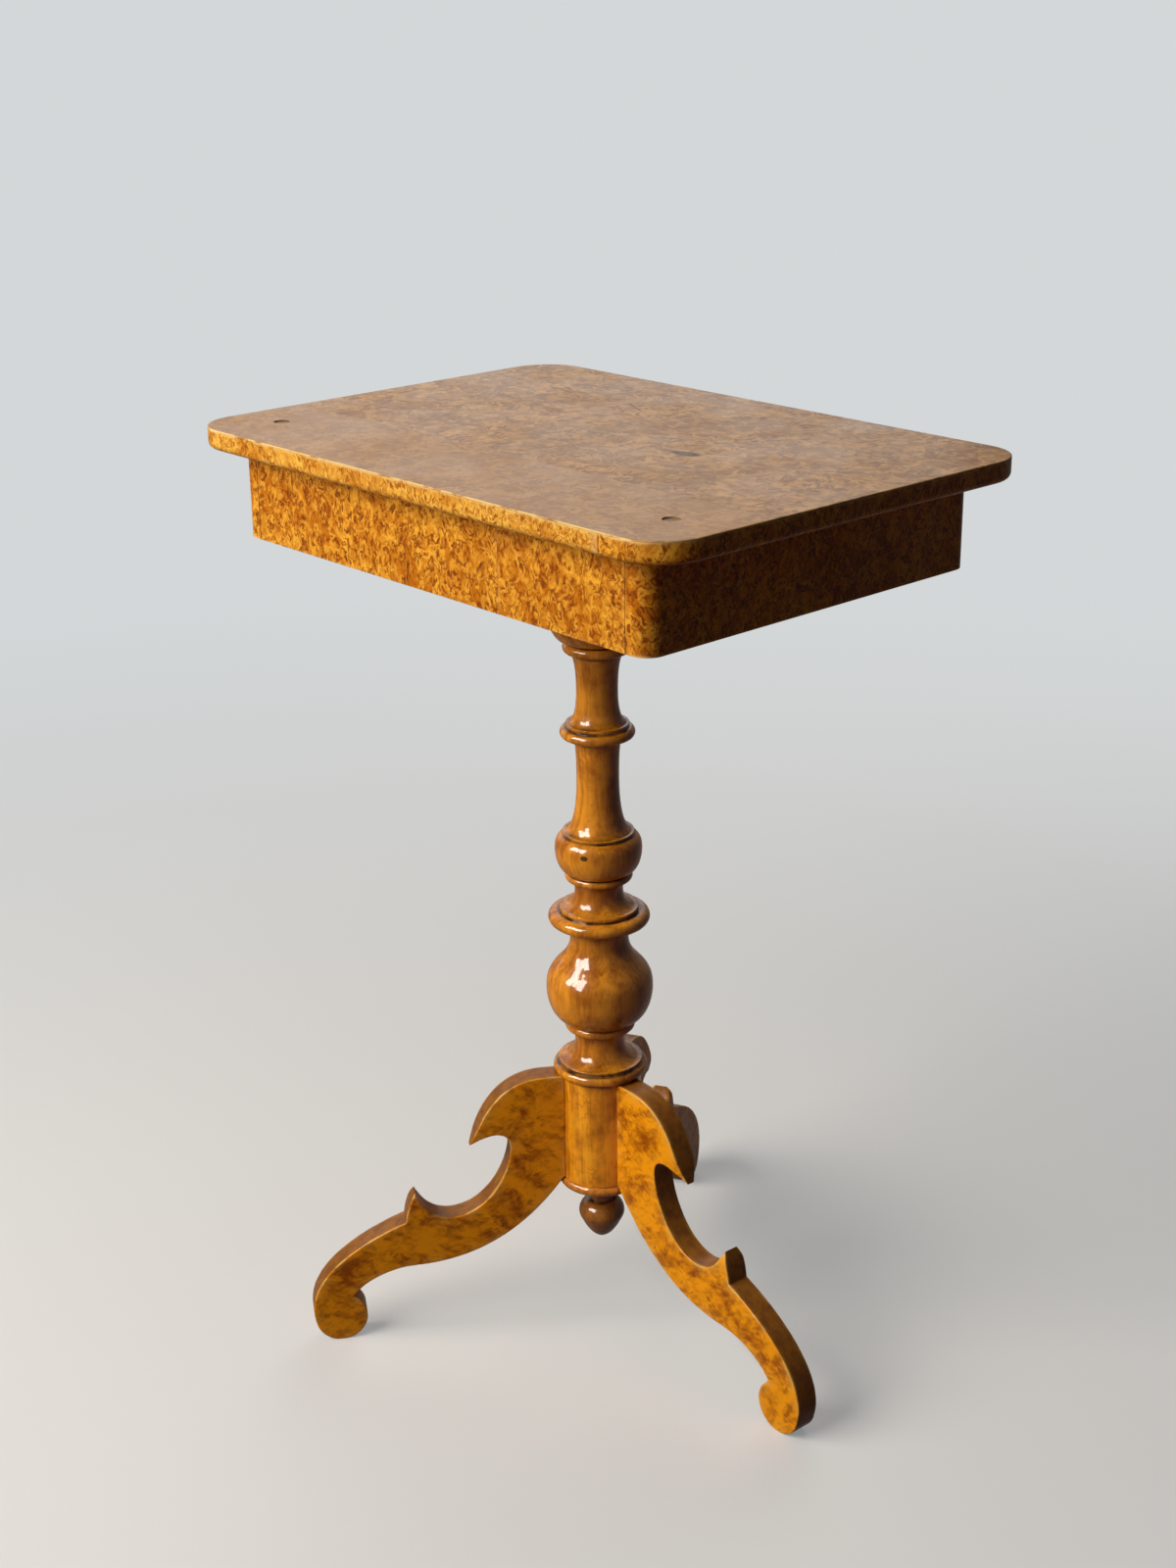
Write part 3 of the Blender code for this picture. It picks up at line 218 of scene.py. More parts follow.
def smooth_run(run, spacing):
    """A curve through points without corners, sampled evenly, without its last point."""
    run = np.array(run)
    steps = np.diff(run, axis=0)
    length = np.linalg.norm(steps, axis=1)[:, None]
    slope = steps / length
    tangent = np.vstack((slope[:1], slope))
    tangent[1:-1] = (length[1:] * slope[:-1] + length[:-1] * slope[1:]) / (length[1:] + length[:-1])
    if len(run) > 2:
        tangent[0] = 1.5 * slope[0] - 0.5 * tangent[1]
        tangent[-1] = 1.5 * slope[-1] - 0.5 * tangent[-2]
    made = []
    for a, b, ta, tb, size in zip(run, run[1:], tangent, tangent[1:], length[:, 0]):
        count = max(1, math.ceil(size / spacing))
        for t in np.arange(count) / count:
            lead = (2 * t**3 - 3 * t**2 + 1) * a + (t**3 - 2 * t**2 + t) * size * ta
            made.append(lead + (3 * t**2 - 2 * t**3) * b + (t**3 - t**2) * size * tb)
    return made


def refined(points, spacing, closed=False):
    """A fine smooth path through the points, kept sharp at their corners."""
    points = [tuple(p) for p in points]
    if closed:
        corner = turns(np.array(points[-1:] + points + points[:1]))[1]
        first = int(np.argmax(corner))
        points = points[first:] + points[: first + 1]
    corner = turns(np.array(points))[1]
    cuts = [0] + [i + 1 for i in range(len(corner)) if corner[i]] + [len(points) - 1]
    made = []
    for a, b in zip(cuts, cuts[1:]):
        made += smooth_run(points[a : b + 1], spacing)
    return np.array(made if closed else made + [np.array(points[-1])])


def softened(path, radius, closed=False):
    """The path with a small round in place of each corner."""
    around = np.vstack((path[-1:], path, path[:1])) if closed else path
    corner = abs(turns(around)[0]) > CORNER_TURN * 0.8
    made = [] if closed else [path[0]]
    for before, at, after, sharp in zip(around, around[1:], around[2:], corner):
        if not sharp:
            made.append(at)
            continue
        back, ahead = before - at, after - at
        start = at + back * min(0.45, radius / np.linalg.norm(back))
        end = at + ahead * min(0.45, radius / np.linalg.norm(ahead))
        for t in (0, 0.25, 0.5, 0.75, 1):
            made.append((1 - t) ** 2 * start + 2 * t * (1 - t) * at + t * t * end)
    return np.array(made if closed else made + [path[-1]])


def arc(centre, radius, start_angle, end_angle, steps):
    """Points of an arc between two angles in degrees, both ends included."""
    angles = np.radians(np.linspace(start_angle, end_angle, steps + 1))
    return [(centre[0] + radius * math.cos(a), centre[1] + radius * math.sin(a)) for a in angles]


def inset(outline, distance):
    """A counter-clockwise outline moved inwards, by less where it is narrow."""
    ahead = unit(np.roll(outline, -1, 0) - outline)
    behind = unit(outline - np.roll(outline, 1, 0))
    normal = unit(np.stack((-(ahead + behind)[:, 1], (ahead + behind)[:, 0]), 1))
    gap = outline[None] - outline[:, None]
    along = (gap * normal[:, None]).sum(-1)
    room = np.where(along > 1e-9, (gap**2).sum(-1) / np.maximum(2 * along, 1e-12), np.inf).min(1)
    return outline + normal * np.minimum(distance, 0.6 * room)[:, None]


def inside(points, outline):
    """Which of the points lie inside a closed outline."""
    a, b = outline, np.roll(outline, -1, 0)
    x, y = points[:, :1], points[:, 1:]
    spans = (a[:, 1] > y) != (b[:, 1] > y)
    rise = np.where(b[:, 1] == a[:, 1], 1e-12, b[:, 1] - a[:, 1])
    crossing = a[:, 0] + (y - a[:, 1]) * (b[:, 0] - a[:, 0]) / rise
    return (spans & (x < crossing)).sum(1) % 2 == 1


def nearest(points, outline):
    """Distance from each point to the nearest point of an outline."""
    return np.linalg.norm(points[:, None] - outline[None], axis=-1).min(1)


def cap(outline, holes, spacing):
    """A flat face with points all over it: points and triangles, the outline's and holes' first."""
    low, high = outline.min(0), outline.max(0)
    grid = np.stack(np.meshgrid(*[np.arange(a, b, spacing) for a, b in zip(low, high)]), -1).reshape(-1, 2)
    rows = np.round((grid[:, 1] - low[1]) / spacing) % 2
    grid[:, 0] += rows * spacing / 2
    grid = np.vstack([grid] + [inset(outline, spacing * share) for share in (0.3, 0.75)])
    rim = np.vstack([outline] + list(holes))
    grid = grid[inside(grid, outline)]
    grid = grid[nearest(grid, rim) > spacing * 0.2]
    for hole in holes:
        centre = hole.mean(0)
        radius = np.linalg.norm(hole[0] - centre)
        grid = grid[np.linalg.norm(grid - centre, axis=1) > radius * 1.1]
    edges = []
    start = 0
    for loop in [outline] + list(holes):
        edges += [(start + i, start + (i + 1) % len(loop)) for i in range(len(loop))]
        start += len(loop)
    points = [Vector(p) for p in np.vstack((rim, grid))]
    made = delaunay_2d_cdt(points, edges, [], 1, 1e-7)
    first = [source[0] for source in made[3]]
    rings = range(len(outline), len(rim))
    triangles = [[first[i] for i in face] for face in made[2]]
    triangles = [triangle for triangle in triangles if not all(i in rings for i in triangle)]
    return np.array([p[:] for p in points]), triangles


def stepped(points, spacing):
    """Points along straight stretches, no further apart than the spacing, without the last one."""
    made = []
    for a, b in zip(points, points[1:]):
        count = max(1, math.ceil(np.linalg.norm(b - a) / spacing))
        made += [a + (b - a) * i / count for i in range(count)]
    return made


class Shape:
    """The mesh of one piece, with the values that its material reads at each vertex."""

    def __init__(self):
        self.points = []
        self.faces = []
        self.values = {"wear": [], "dark_tone_and_shade": [], "leaf": []}

    def add(self, points, faces, wear, dark_tone_and_shade, leaf):
        """Adds one closed body."""
        start = len(self.points)
        self.points += [tuple(p) for p in points]
        self.faces += [[start + i for i in face] for face in faces]
        self.values["wear"] += list(np.broadcast_to(wear, len(points)))
        self.values["dark_tone_and_shade"] += list(np.broadcast_to(dark_tone_and_shade, len(points)))
        self.values["leaf"] += [tuple(leaf)] * len(points)

    def lathe(self, path, centre=(0, 0), segments=TURNED_SEGMENTS, leaf=(0, 0, 0)):
        """A turned body from a path of radius and height that starts and ends on the axis."""
        path = np.array(path)
        turn = np.zeros(len(path))
        turn[1:-1] = turns(path)[0]
        along = np.concatenate(([0], np.cumsum(np.linalg.norm(np.diff(path, axis=0), axis=1))))
        reach = np.exp(-(((along[:, None] - along[None]) / GROOVE_REACH) ** 2))
        # Darker in the concave turns: dirt in the grooves, with painted shade
        dark_tone_and_shade = np.clip((reach * np.maximum(turn, 0)).sum(1), 0, 1)
        wear = np.clip((reach * np.maximum(-turn, 0)).sum(1) / WORN_TURN, 0, 1)
        ring = [(math.cos(a), math.sin(a)) for a in np.arange(segments) * math.tau / segments]
        points = [(centre[0], centre[1], path[0, 1])]
        for radius, height in path[1:-1]:
            points += [(centre[0] + radius * x, centre[1] + radius * y, height) for x, y in ring]
        points.append((centre[0], centre[1], path[-1, 1]))
        faces = []
        for i in range(segments):
            j = (i + 1) % segments
            faces.append((0, 1 + i, 1 + j))
            for row in range(1, 1 + (len(path) - 3) * segments, segments):
                faces.append((row + i, row + segments + i, row + segments + j, row + j))
            last = len(points) - 1
            faces.append((last, last - segments + j, last - segments + i))
        spread = [0] + [row for row in range(1, len(path) - 1) for place in ring] + [len(path) - 1]
        self.add(points, faces, wear[spread], dark_tone_and_shade[spread], leaf)

    def sweep(self, stations, section, corners, leaf, tone=0.0):
        """A body along stations of place and inward normal, its section worn at corners."""
        section = np.array(stepped(np.vstack((section, section[:1])), SECTION_SPACING))
        wear = np.maximum(np.exp(-nearest(section, np.array(corners)) / SECTION_WORN), tone)
        points = []
        for x, y, inward_x, inward_y in stations:
            points += [(x + inward_x * depth, y + inward_y * depth, height) for depth, height in section]
        count = len(section)
        faces = [tuple(range(count)), tuple(range(len(points) - count, len(points)))]
        for start in range(0, len(points) - count, count):
            for i in range(count):
                j = (i + 1) % count
                faces.append((start + i, start + j, start + count + j, start + count + i))
        self.add(points, faces, list(wear) * len(stations), 0, leaf)

    def plate(self, outline, layers, spacing, place, holes=(), leaf=(0, 0, 0), fade=FACE_WORN, worn=1.0):
        """A board from its outline; each layer has a height and how far it is drawn in."""
        outline = np.array(outline)
        rings = [inset(outline, depth) if depth else outline for height, depth in layers]
        size = len(outline)
        flat = []
        wear = []
        faces = []
        for (height, depth), ring in zip(layers, rings):
            flat += [(u, v, height) for u, v in ring]
            middle = (height - layers[0][0]) / (layers[-1][0] - layers[0][0])
            near_face = min(middle, 1 - middle) < SIDE_SHARE
            wear += [1.0 if depth else (SIDE_WEAR if near_face else 0.0)] * size
        for start in range(0, (len(layers) - 1) * size, size):
            for i in range(size):
                j = (i + 1) % size
                faces.append((start + i, start + j, start + size + j, start + size + i))
        edge_count = len(flat)
        mouths = []
        ends = ((rings[0], 0, layers[0][0]), (rings[-1], edge_count - size, layers[-1][0]))
        for ring, start, height in ends:
            points, triangles = cap(ring, holes, spacing)
            number = [start + i if i < size else len(flat) + i - size for i in range(len(points))]
            flat += [(u, v, height) for u, v in points[size:]]
            wear += list(np.exp(-nearest(points[size:], outline) / fade) * FACE_WEAR)
            faces += [[number[i] for i in triangle] for triangle in triangles]
            mouths.append(number[size : size + sum(len(hole) for hole in holes)])
        lower, upper = mouths
        start = 0
        for hole in holes:
            for i in range(len(hole)):
                a = start + i
                b = start + (i + 1) % len(hole)
                faces.append([lower[a], lower[b], upper[b], upper[a]])
            start += len(hole)
        # The board's sides are marked darker: darker sawn wood, with painted shade
        dark_tone_and_shade = np.zeros(len(flat))
        dark_tone_and_shade[:edge_count] = [0.0 if w == 1.0 else 1.0 for w in wear[:edge_count]]
        self.add([place(*p) for p in flat], faces, np.array(wear) * worn, dark_tone_and_shade, leaf)

    def piece(self, name, material, nodes, body="table", turn=0.0):
        """Makes the object, and has it ride on its body and stand for its nodes."""
        mesh = bpy.data.meshes.new(name)
        mesh.from_pydata(self.points, [], self.faces)
        for key, kind in (("wear", "FLOAT"), ("dark_tone_and_shade", "FLOAT"), ("leaf", "FLOAT_VECTOR")):
            attribute = mesh.attributes.new(key, kind, "POINT")
            field = "vector" if kind == "FLOAT_VECTOR" else "value"
            attribute.data.foreach_set(field, np.array(self.values[key], dtype=np.float32).ravel())
        work = bmesh.new()
        work.from_mesh(mesh)
        bmesh.ops.recalc_face_normals(work, faces=work.faces)
        work.to_mesh(mesh)
        work.free()
        mesh.polygons.foreach_set("use_smooth", [True] * len(mesh.polygons))
        mesh.set_sharp_from_angle(angle=SHADED_SHARP)
        mesh.materials.append(material)
        made = bpy.data.objects.new(name, mesh)
        made.matrix_world = Matrix.Rotation(math.radians(turn), 4, "Z")
        bpy.context.scene.collection.objects.link(made)
        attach(made, body)
        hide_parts(*nodes)
        return made


class Tree:
    """The nodes of one material or world."""

    def __init__(self, owner):
        owner.use_nodes = True
        self.owner = owner
        self.tree = owner.node_tree
        self.tree.nodes.clear()

    def add(self, kind, inputs, output=0, **settings):
        """A node with its inputs set or linked; returns one output."""
        node = self.tree.nodes.new("ShaderNode" + kind)
        for key, value in settings.items():
            setattr(node, key, value)
        for key, value in inputs.items():
            if isinstance(value, bpy.types.NodeSocket):
                self.tree.links.new(value, node.inputs[key])
            else:
                node.inputs[key].default_value = value
        return node.outputs[output]

    def spot(self):
        """The place on the piece."""
        return self.add("TexCoord", {}, "Object")

    def place(self):
        """The place on the piece, moved to its own leaf of wood."""
        leaf = self.add("Attribute", {}, "Vector", attribute_name="leaf")
        return self.vector("ADD", self.spot(), leaf)

    def value(self, name):
        """A value stored at the vertices."""
        return self.add("Attribute", {}, "Fac", attribute_name=name)

    def vector(self, operation, a, b):
        return self.add("VectorMath", {0: a, 1: b}, operation=operation)

    def math(self, operation, a, b=0.0):
        return self.add("Math", {0: a, 1: b}, operation=operation)

    def times(self, a, b):
        return self.add("Math", {0: a, 1: b}, operation="MULTIPLY")

    def stretch(self, spot, scale, turn=(0, 0, 0)):
        """The place turned and scaled, for grain that runs one way."""
        turn = tuple(math.radians(a) for a in turn)
        turned = self.add("Mapping", {"Vector": spot, "Rotation": turn})
        return self.vector("MULTIPLY", turned, scale)

    def noise(self, spot, scale, detail=2.0, roughness=0.5, output="Fac"):
        inputs = {"Vector": spot, "Scale": scale, "Detail": detail, "Roughness": roughness}
        return self.add("TexNoise", inputs, output)

    def warp(self, spot, scale, reach, detail=2.0):
        """The place pushed about by noise, which strays by about a quarter, to the given reach."""
        push = self.vector("SUBTRACT", self.noise(spot, scale, detail, output="Color"), (0.5, 0.5, 0.5))
        return self.vector("ADD", spot, self.vector("MULTIPLY", push, (reach * 4,) * 3))

    def between(self, value, low, high, to_low=0.0, to_high=1.0):
        """A value eased from one range to another."""
        inputs = {"Value": value, "From Min": low, "From Max": high, "To Min": to_low, "To Max": to_high}
        return self.add("MapRange", inputs, interpolation_type="SMOOTHSTEP")

    def mix(self, factor, a, b):
        """A colour between two colours."""
        a, b = ((*c, 1.0) if isinstance(c, tuple) else c for c in (a, b))
        return self.add("Mix", {0: factor, 6: a, 7: b}, 2, data_type="RGBA")

    def lines(self, spot, scale, width, detail=1.0):
        """Curling lines, where noise passes its middle value."""
        off = self.math("ABSOLUTE", self.math("SUBTRACT", self.noise(spot, scale, detail), 0.5))
        return self.between(off, width * 0.35, width, 1.0, 0.0)

    def oval(self, spot, centre, half, turn):
        """How far a place is from a centre, as a share of half sizes along turned axes."""
        moved = self.vector("SUBTRACT", spot, centre)
        scale = tuple(1 / size for size in half)
        shares = self.stretch(moved, scale, (0, 0, -turn))
        return self.add("VectorMath", {0: shares}, "Value", operation="LENGTH")

    def stain(self, color, away, inner, outer, amount, tint):
        """The colour with a tint where a distance is below the inner value, fading out at the outer one."""
        return self.mix(self.between(away, inner, outer, amount, 0.0), color, tint)

    def bump(self, height, distance):
        return self.add("Bump", {"Height": height, "Distance": distance, "Strength": 1.0})

    def shade(self, color, roughness, normal, **settings):
        """The surface; settings are plain numbers on the shader."""
        inputs = {"Base Color": color, "Roughness": roughness, "Normal": normal}
        inputs.update({key.replace("_", " "): value for key, value in settings.items()})
        surface = self.add("BsdfPrincipled", inputs)
        self.end(surface)
        return self.owner

    def end(self, surface, kind="Material"):
        output = self.tree.nodes.new("ShaderNodeOutput" + kind)
        self.tree.links.new(surface, output.inputs["Surface"])


# Gloss of the shellac, as plain numbers on the shader
SATIN = {"Specular_IOR_Level": 0.07, "Coat_Weight": 0.12, "Coat_Roughness": 0.16}
GLOSS = {"Specular_IOR_Level": 0.07, "Coat_Weight": 0.5, "Coat_Roughness": 0.05}
HAZE = {"Specular_IOR_Level": 0.04, "Coat_Weight": 0.14, "Coat_Roughness": 0.22}


def burl(name, dark, light, amber, mark, worn, grain, ink, cloudy, features=(), leaves=None, **surface):
    """Curly burl veneer under shellac: short strokes round lighter dots, with darker clouds."""
    t = Tree(bpy.data.materials.new(name))
    spot = t.place()
    if leaves:
        spot = leaves(t, spot)
    sized = t.vector("MULTIPLY", spot, (1 / grain,) * 3)
    curled = t.warp(t.warp(t.stretch(sized, (1.0, 1.0, 0.75)), 60, 0.0028), 260, 0.0011)
    level = t.noise(curled, 150, 3.0, 0.55)
    waves = t.math("ABSOLUTE", t.math("SINE", t.times(level, 17.0)))
    curly = t.between(t.noise(sized, 150), 0.36, 0.56)
    halo = t.times(t.between(waves, 0.25, 0.95, 0.9, 0.0), curly)
    inked = t.between(t.noise(sized, 210), 0.42, 0.6)
    core = t.times(t.between(waves, 0.08, 0.5, ink, 0.0), inked)
    clouds = t.between(t.noise(curled, 40, 3.0, 0.55), 0.4, 0.58)
    dots = t.between(t.noise(curled, 230, 2.0), 0.38, 0.62)
    tone = t.math("ADD", t.times(clouds, cloudy), t.times(dots, 1 - cloudy))
    color = t.mix(tone, dark, light)
    color = t.mix(halo, color, amber)
    color = t.mix(core, color, mark)
    specks = t.between(t.noise(sized, 620, 2.0), 0.52, 0.68, 0.0, 0.45)
    color = t.mix(specks, color, amber)
    for feature in features:
        color = feature(t, color)
    patches = t.between(t.noise(spot, 55, 3.0), 0.36, 0.52)
    color = t.mix(t.times(t.value("wear"), patches), color, worn)
    roughness = t.between(t.noise(spot, 14, 4.0, 0.65), 0.3, 0.7, 0.26, 0.42)
    height = t.math("ADD", t.times(core, -0.3), t.noise(spot, 420))
    return t.shade(color, roughness, t.bump(height, 0.00004), **surface)


# Marks in the wood: centre, half sizes and turn about Z in degrees
TOP_KNOT = ((0.0857, 0.0096, 0.75), (0.0125, 0.0046, 0.05), 8)
TOP_CRACK = ((-0.0593, 0.0978, 0.75), (0.021, 0.0009, 0.05), -25)
BULB_KNOT = ((0.0160, -0.0302, 0.4265), (0.0028, 0.0028, 0.0021), 0)
SHAFT_CHIP = ((-0.0122, -0.0118, 0.458), (0.0016, 0.0016, 0.0035), 0)
FOOT_CRACK = ((0.0190, -0.0190, 0.2440), (0.0012, 0.0012, 0.0055), 45)

# Widths over which a seam's line fades and two tones meet
SEAM_LINE = (0.0003, 0.0012)
LEAF_BLUR = 0.0005
TONE_BLUR = 0.0012

# Tints of the marks
FRONT_LEAF_PINK = (0.53, 0.270, 0.108)
SEAM_BROWN = (0.26, 0.13, 0.06)
# Painted shade in the gaps round the plugs
PLUG_GAP_SHADE = (0.11, 0.054, 0.030)
KNOT_BROWN = (0.17, 0.11, 0.075)
KNOT_RIM = (0.040, 0.032, 0.030)
TOP_CRACK_BROWN = (0.05, 0.03, 0.018)
BULB_KNOT_BLACK = (0.016, 0.008, 0.004)
BULB_KNOT_HEART = (0.16, 0.07, 0.02)
CHIP_BROWN = (0.03, 0.014, 0.006)
FOOT_CRACK_BROWN = (0.05, 0.02, 0.006)
# Dirt in the grooves of turned wood, deepened as painted shade
GROOVE_DIRT_AND_SHADE = (0.034, 0.012, 0.004)
BLOCK_PALER = (1.32, 1.4, 0.9)
RING_PALER = (1.7, 1.75, 1.3)

# How strongly flecks show on turned and on sawn birch
TURNED_FLECKS = 0.32
SAWN_FLECKS = 0.55


def top_leaves(t, spot):
    """The place moved to another stretch of wood in each leaf of the top."""
    across = t.add("SeparateXYZ", {"Vector": t.spot()}, "Y")
    for number, seam in enumerate(TOP_SEAMS):
        beyond = t.math("GREATER_THAN", across, seam)
        spot = t.vector("ADD", spot, t.vector("MULTIPLY", cut_from(TOP_LEAF, number), beyond))
    return spot


def top_seams(t, color):
    """A plainer, pinker front leaf and thin dark lines at the seams."""
    place = t.warp(t.spot(), 40, 0.0004)
    across = t.add("SeparateXYZ", {"Vector": place}, "Y")
    seam = TOP_SEAMS[0]
    color = t.stain(color, across, seam - LEAF_BLUR, seam + LEAF_BLUR, 0.45, FRONT_LEAF_PINK)
    for seam in TOP_SEAMS:
        away = t.math("ABSOLUTE", t.math("SUBTRACT", across, seam))
        broken = t.between(t.noise(place, 60), 0.4, 0.62, 0.0, 0.4)
        line = t.times(t.between(away, *SEAM_LINE, 1.0, 0.0), broken)
        color = t.mix(line, color, SEAM_BROWN)
    return color


def plug_gap_shade(t, color):
    """Painted shade: a dark ring in and round the gaps of the two plugs."""
    spot = t.spot()
    for side in ("left", "right"):
        low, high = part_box("top_plug_" + side)
        half = (high.x - low.x) / 2
        away = t.oval(spot, tuple((low + high) / 2), (half, half, 1.0), 0)
        # painted shade in the gap round this plug
        color = t.stain(color, away, 1.03, 1.08, 0.7, PLUG_GAP_SHADE)
    return color


def top_knot(t, color):
    """The grey lens-shaped knot right of the middle of the top, and a fine crack behind it."""
    spot = t.warp(t.spot(), 150, 0.0005)
    away = t.oval(spot, *TOP_KNOT)
    color = t.stain(color, away, 0.55, 1.6, 0.6, KNOT_BROWN)
    off_rim = t.math("ABSOLUTE", t.math("SUBTRACT", away, 0.78))
    color = t.stain(color, off_rim, 0.1, 0.36, 0.95, KNOT_RIM)
    return t.stain(color, t.oval(spot, *TOP_CRACK), 0.5, 1.0, 0.9, TOP_CRACK_BROWN)


def column_marks(t, color):
    """A dark knot on the bulb and small dark marks on the shaft and the foot."""
    spot = t.warp(t.spot(), 200, 0.0004)
    knot = t.oval(spot, *BULB_KNOT)
    color = t.stain(color, knot, 0.8, 1.3, 0.95, BULB_KNOT_BLACK)
    color = t.stain(color, knot, 0.25, 0.65, 0.5, BULB_KNOT_HEART)
    color = t.stain(color, t.oval(spot, *SHAFT_CHIP), 0.6, 1.2, 0.85, CHIP_BROWN)
    return t.stain(color, t.oval(spot, *FOOT_CRACK), 0.5, 1.0, 0.6, FOOT_CRACK_BROWN)


def paler(t, color, height, above, amount):
    """The colour, brighter on one side of a height."""
    place = t.add("SeparateXYZ", {"Vector": t.spot()}, "Z")
    ends = (0.0, 1.0) if above else (1.0, 0.0)
    share = t.between(place, height - TONE_BLUR, height + TONE_BLUR, *ends)
    return t.mix(share, color, t.vector("MULTIPLY", color, amount))


def block_tone(t, color):
    """The block that holds the legs is paler gold than the turning above it."""
    return paler(t, color, BLOCK_TOP, False, BLOCK_PALER)


def ring_tone(t, color):
    """The pendant's ring is as pale as the column."""
    return paler(t, color, RING_BOTTOM, True, RING_PALER)


def turned_birch(name, dark, light, fleck, worn, features=(), **surface):
    """Solid birch turned on the lathe: layers of growth, streaks, flecks, and dirt with painted shade in the
    grooves.
    """
    t = Tree(bpy.data.materials.new(name))
    spot = t.place()
    bent = t.warp(spot, 14, 0.004)
    layers = t.noise(t.stretch(bent, (190, 70, 6), (3, 2, 25)), 1.0)
    streaks = t.noise(t.stretch(spot, (520, 520, 26)), 1.0, 3.0)
    tone = t.math("ADD", t.times(layers, 0.6), t.times(streaks, 0.4))
    clouds = t.noise(t.warp(bent, 60, 0.002), 34, 4.0, 0.6)
    tone = t.math("ADD", t.times(tone, 0.5), t.times(clouds, 0.5))
    color = t.mix(t.between(tone, 0.36, 0.61), dark, light)
    curled = t.warp(spot, 60, 0.0016)
    curls = t.times(t.lines(curled, 120, 0.06), t.between(t.noise(spot, 24), 0.54, 0.62))
    dashes = t.between(t.noise(t.stretch(spot, (600, 600, 130)), 1.0, 1.0), 0.64, 0.74)
    color = t.mix(t.times(t.math("MAXIMUM", curls, dashes), TURNED_FLECKS), color, fleck)
    for feature in features:
        color = feature(t, color)
    # Dirt in the grooves, darkened further as painted shade
    dark_tone_and_shade = t.times(t.value("dark_tone_and_shade"), t.between(t.noise(spot, 90, 3.0), 0.3, 0.6, 0.5, 1.0))
    color = t.mix(dark_tone_and_shade, color, GROOVE_DIRT_AND_SHADE)
    patches = t.between(t.noise(spot, 70, 3.0), 0.42, 0.62, 0.0, 0.3)
    color = t.mix(t.times(t.value("wear"), patches), color, worn)
    roughness = t.between(t.noise(spot, 30, 4.0, 0.65), 0.3, 0.7, 0.2, 0.34)
    height = t.math("ADD", t.times(streaks, 0.7), t.noise(spot, 380))
    return t.shade(color, roughness, t.bump(height, 0.00004), **surface)


def sawn_birch(name, dark, light, fleck, edge, worn, **surface):
    """Mottled birch board, with worn arrises and darker sawn edges that are partly painted shade."""
    t = Tree(bpy.data.materials.new(name))
    spot = t.place()
    bent = t.warp(t.warp(spot, 24, 0.005), 90, 0.0012)
    flames = t.noise(t.stretch(bent, (30, 60, 62), (0, 38, 0)), 1.0, 4.0, 0.6)
    mottles = t.noise(t.stretch(bent, (85, 120, 150), (0, 20, 0)), 1.0, 3.0, 0.6)
    grain = t.noise(t.stretch(bent, (40, 600, 420), (0, -30, 0)), 1.0, 3.0)
    tone = t.math("ADD", t.times(flames, 0.5), t.times(mottles, 0.35))
    tone = t.math("ADD", tone, t.times(grain, 0.15))
    color = t.mix(t.between(tone, 0.36, 0.57), dark, light)
    dashes = t.between(t.noise(t.stretch(bent, (150, 240, 420), (0, -25, 0)), 1.0), 0.58, 0.68)
    zones = t.between(t.noise(spot, 30), 0.48, 0.6)
    color = t.mix(t.times(t.times(dashes, zones), SAWN_FLECKS), color, fleck)
    # Darker sawn sides: darker wood, partly painted shade
    edges = t.times(t.value("dark_tone_and_shade"), t.between(mottles, 0.35, 0.6, 0.97, 0.85))
    color = t.mix(edges, color, edge)
    patches = t.between(t.noise(spot, 60, 3.0), 0.40, 0.60, 0.05, 0.75)
    color = t.mix(t.times(t.value("wear"), patches), color, worn)
    roughness = t.between(t.noise(spot, 26, 4.0, 0.65), 0.3, 0.7, 0.24, 0.4)
    height = t.math("ADD", t.times(grain, 0.7), t.noise(spot, 300))
    return t.shade(color, roughness, t.bump(height, 0.00006), **surface)


def pine(name, along):
    """Plain planed pine, darkened with age; its grain runs along one axis."""
    t = Tree(bpy.data.materials.new(name))
    spot = t.place()
    scale = [210.0, 210.0, 210.0]
    scale["xyz".index(along)] = 4.0
    bent = t.warp(spot, 9, 0.004)
    rings = t.noise(t.stretch(bent, scale), 1.0, 1.0)
    fibres = t.noise(t.stretch(spot, [s * 5 for s in scale]), 1.0, 3.0)
    color = t.mix(t.between(rings, 0.4, 0.6), (0.60, 0.40, 0.20), (0.44, 0.25, 0.105))
    color = t.mix(t.between(fibres, 0.4, 0.7, 0.0, 0.4), color, (0.34, 0.19, 0.085))
    stains = t.between(t.noise(spot, 12, 4.0, 0.65), 0.45, 0.7, 0.0, 0.5)
    color = t.mix(stains, color, (0.26, 0.15, 0.07))
    roughness = t.between(fibres, 0.3, 0.7, 0.6, 0.85)
    return t.shade(color, roughness, t.bump(fibres, 0.0001))


def plug_wood(name):
    """End grain of a brown plug."""
    t = Tree(bpy.data.materials.new(name))
    spot = t.place()
    rings = t.noise(t.warp(t.stretch(spot, (1, 1, 0)), 300, 0.0008), 900, 2.0)
    color = t.mix(t.between(rings, 0.35, 0.65), (0.24, 0.125, 0.062), (0.40, 0.225, 0.120))
    roughness = t.between(rings, 0.3, 0.7, 0.3, 0.45)
    return t.shade(color, roughness, t.bump(rings, 0.00003), **HAZE)


def iron(name):
    """Plain iron with a little rust."""
    t = Tree(bpy.data.materials.new(name))
    spot = t.place()
    rust = t.between(t.noise(spot, 500, 4.0, 0.65), 0.45, 0.65)
    color = t.mix(rust, (0.12, 0.115, 0.11), (0.16, 0.06, 0.025))
    roughness = t.between(rust, 0.0, 1.0, 0.4, 0.8)
    return t.shade(color, roughness, t.bump(rust, 0.0001), Metallic=0.8)


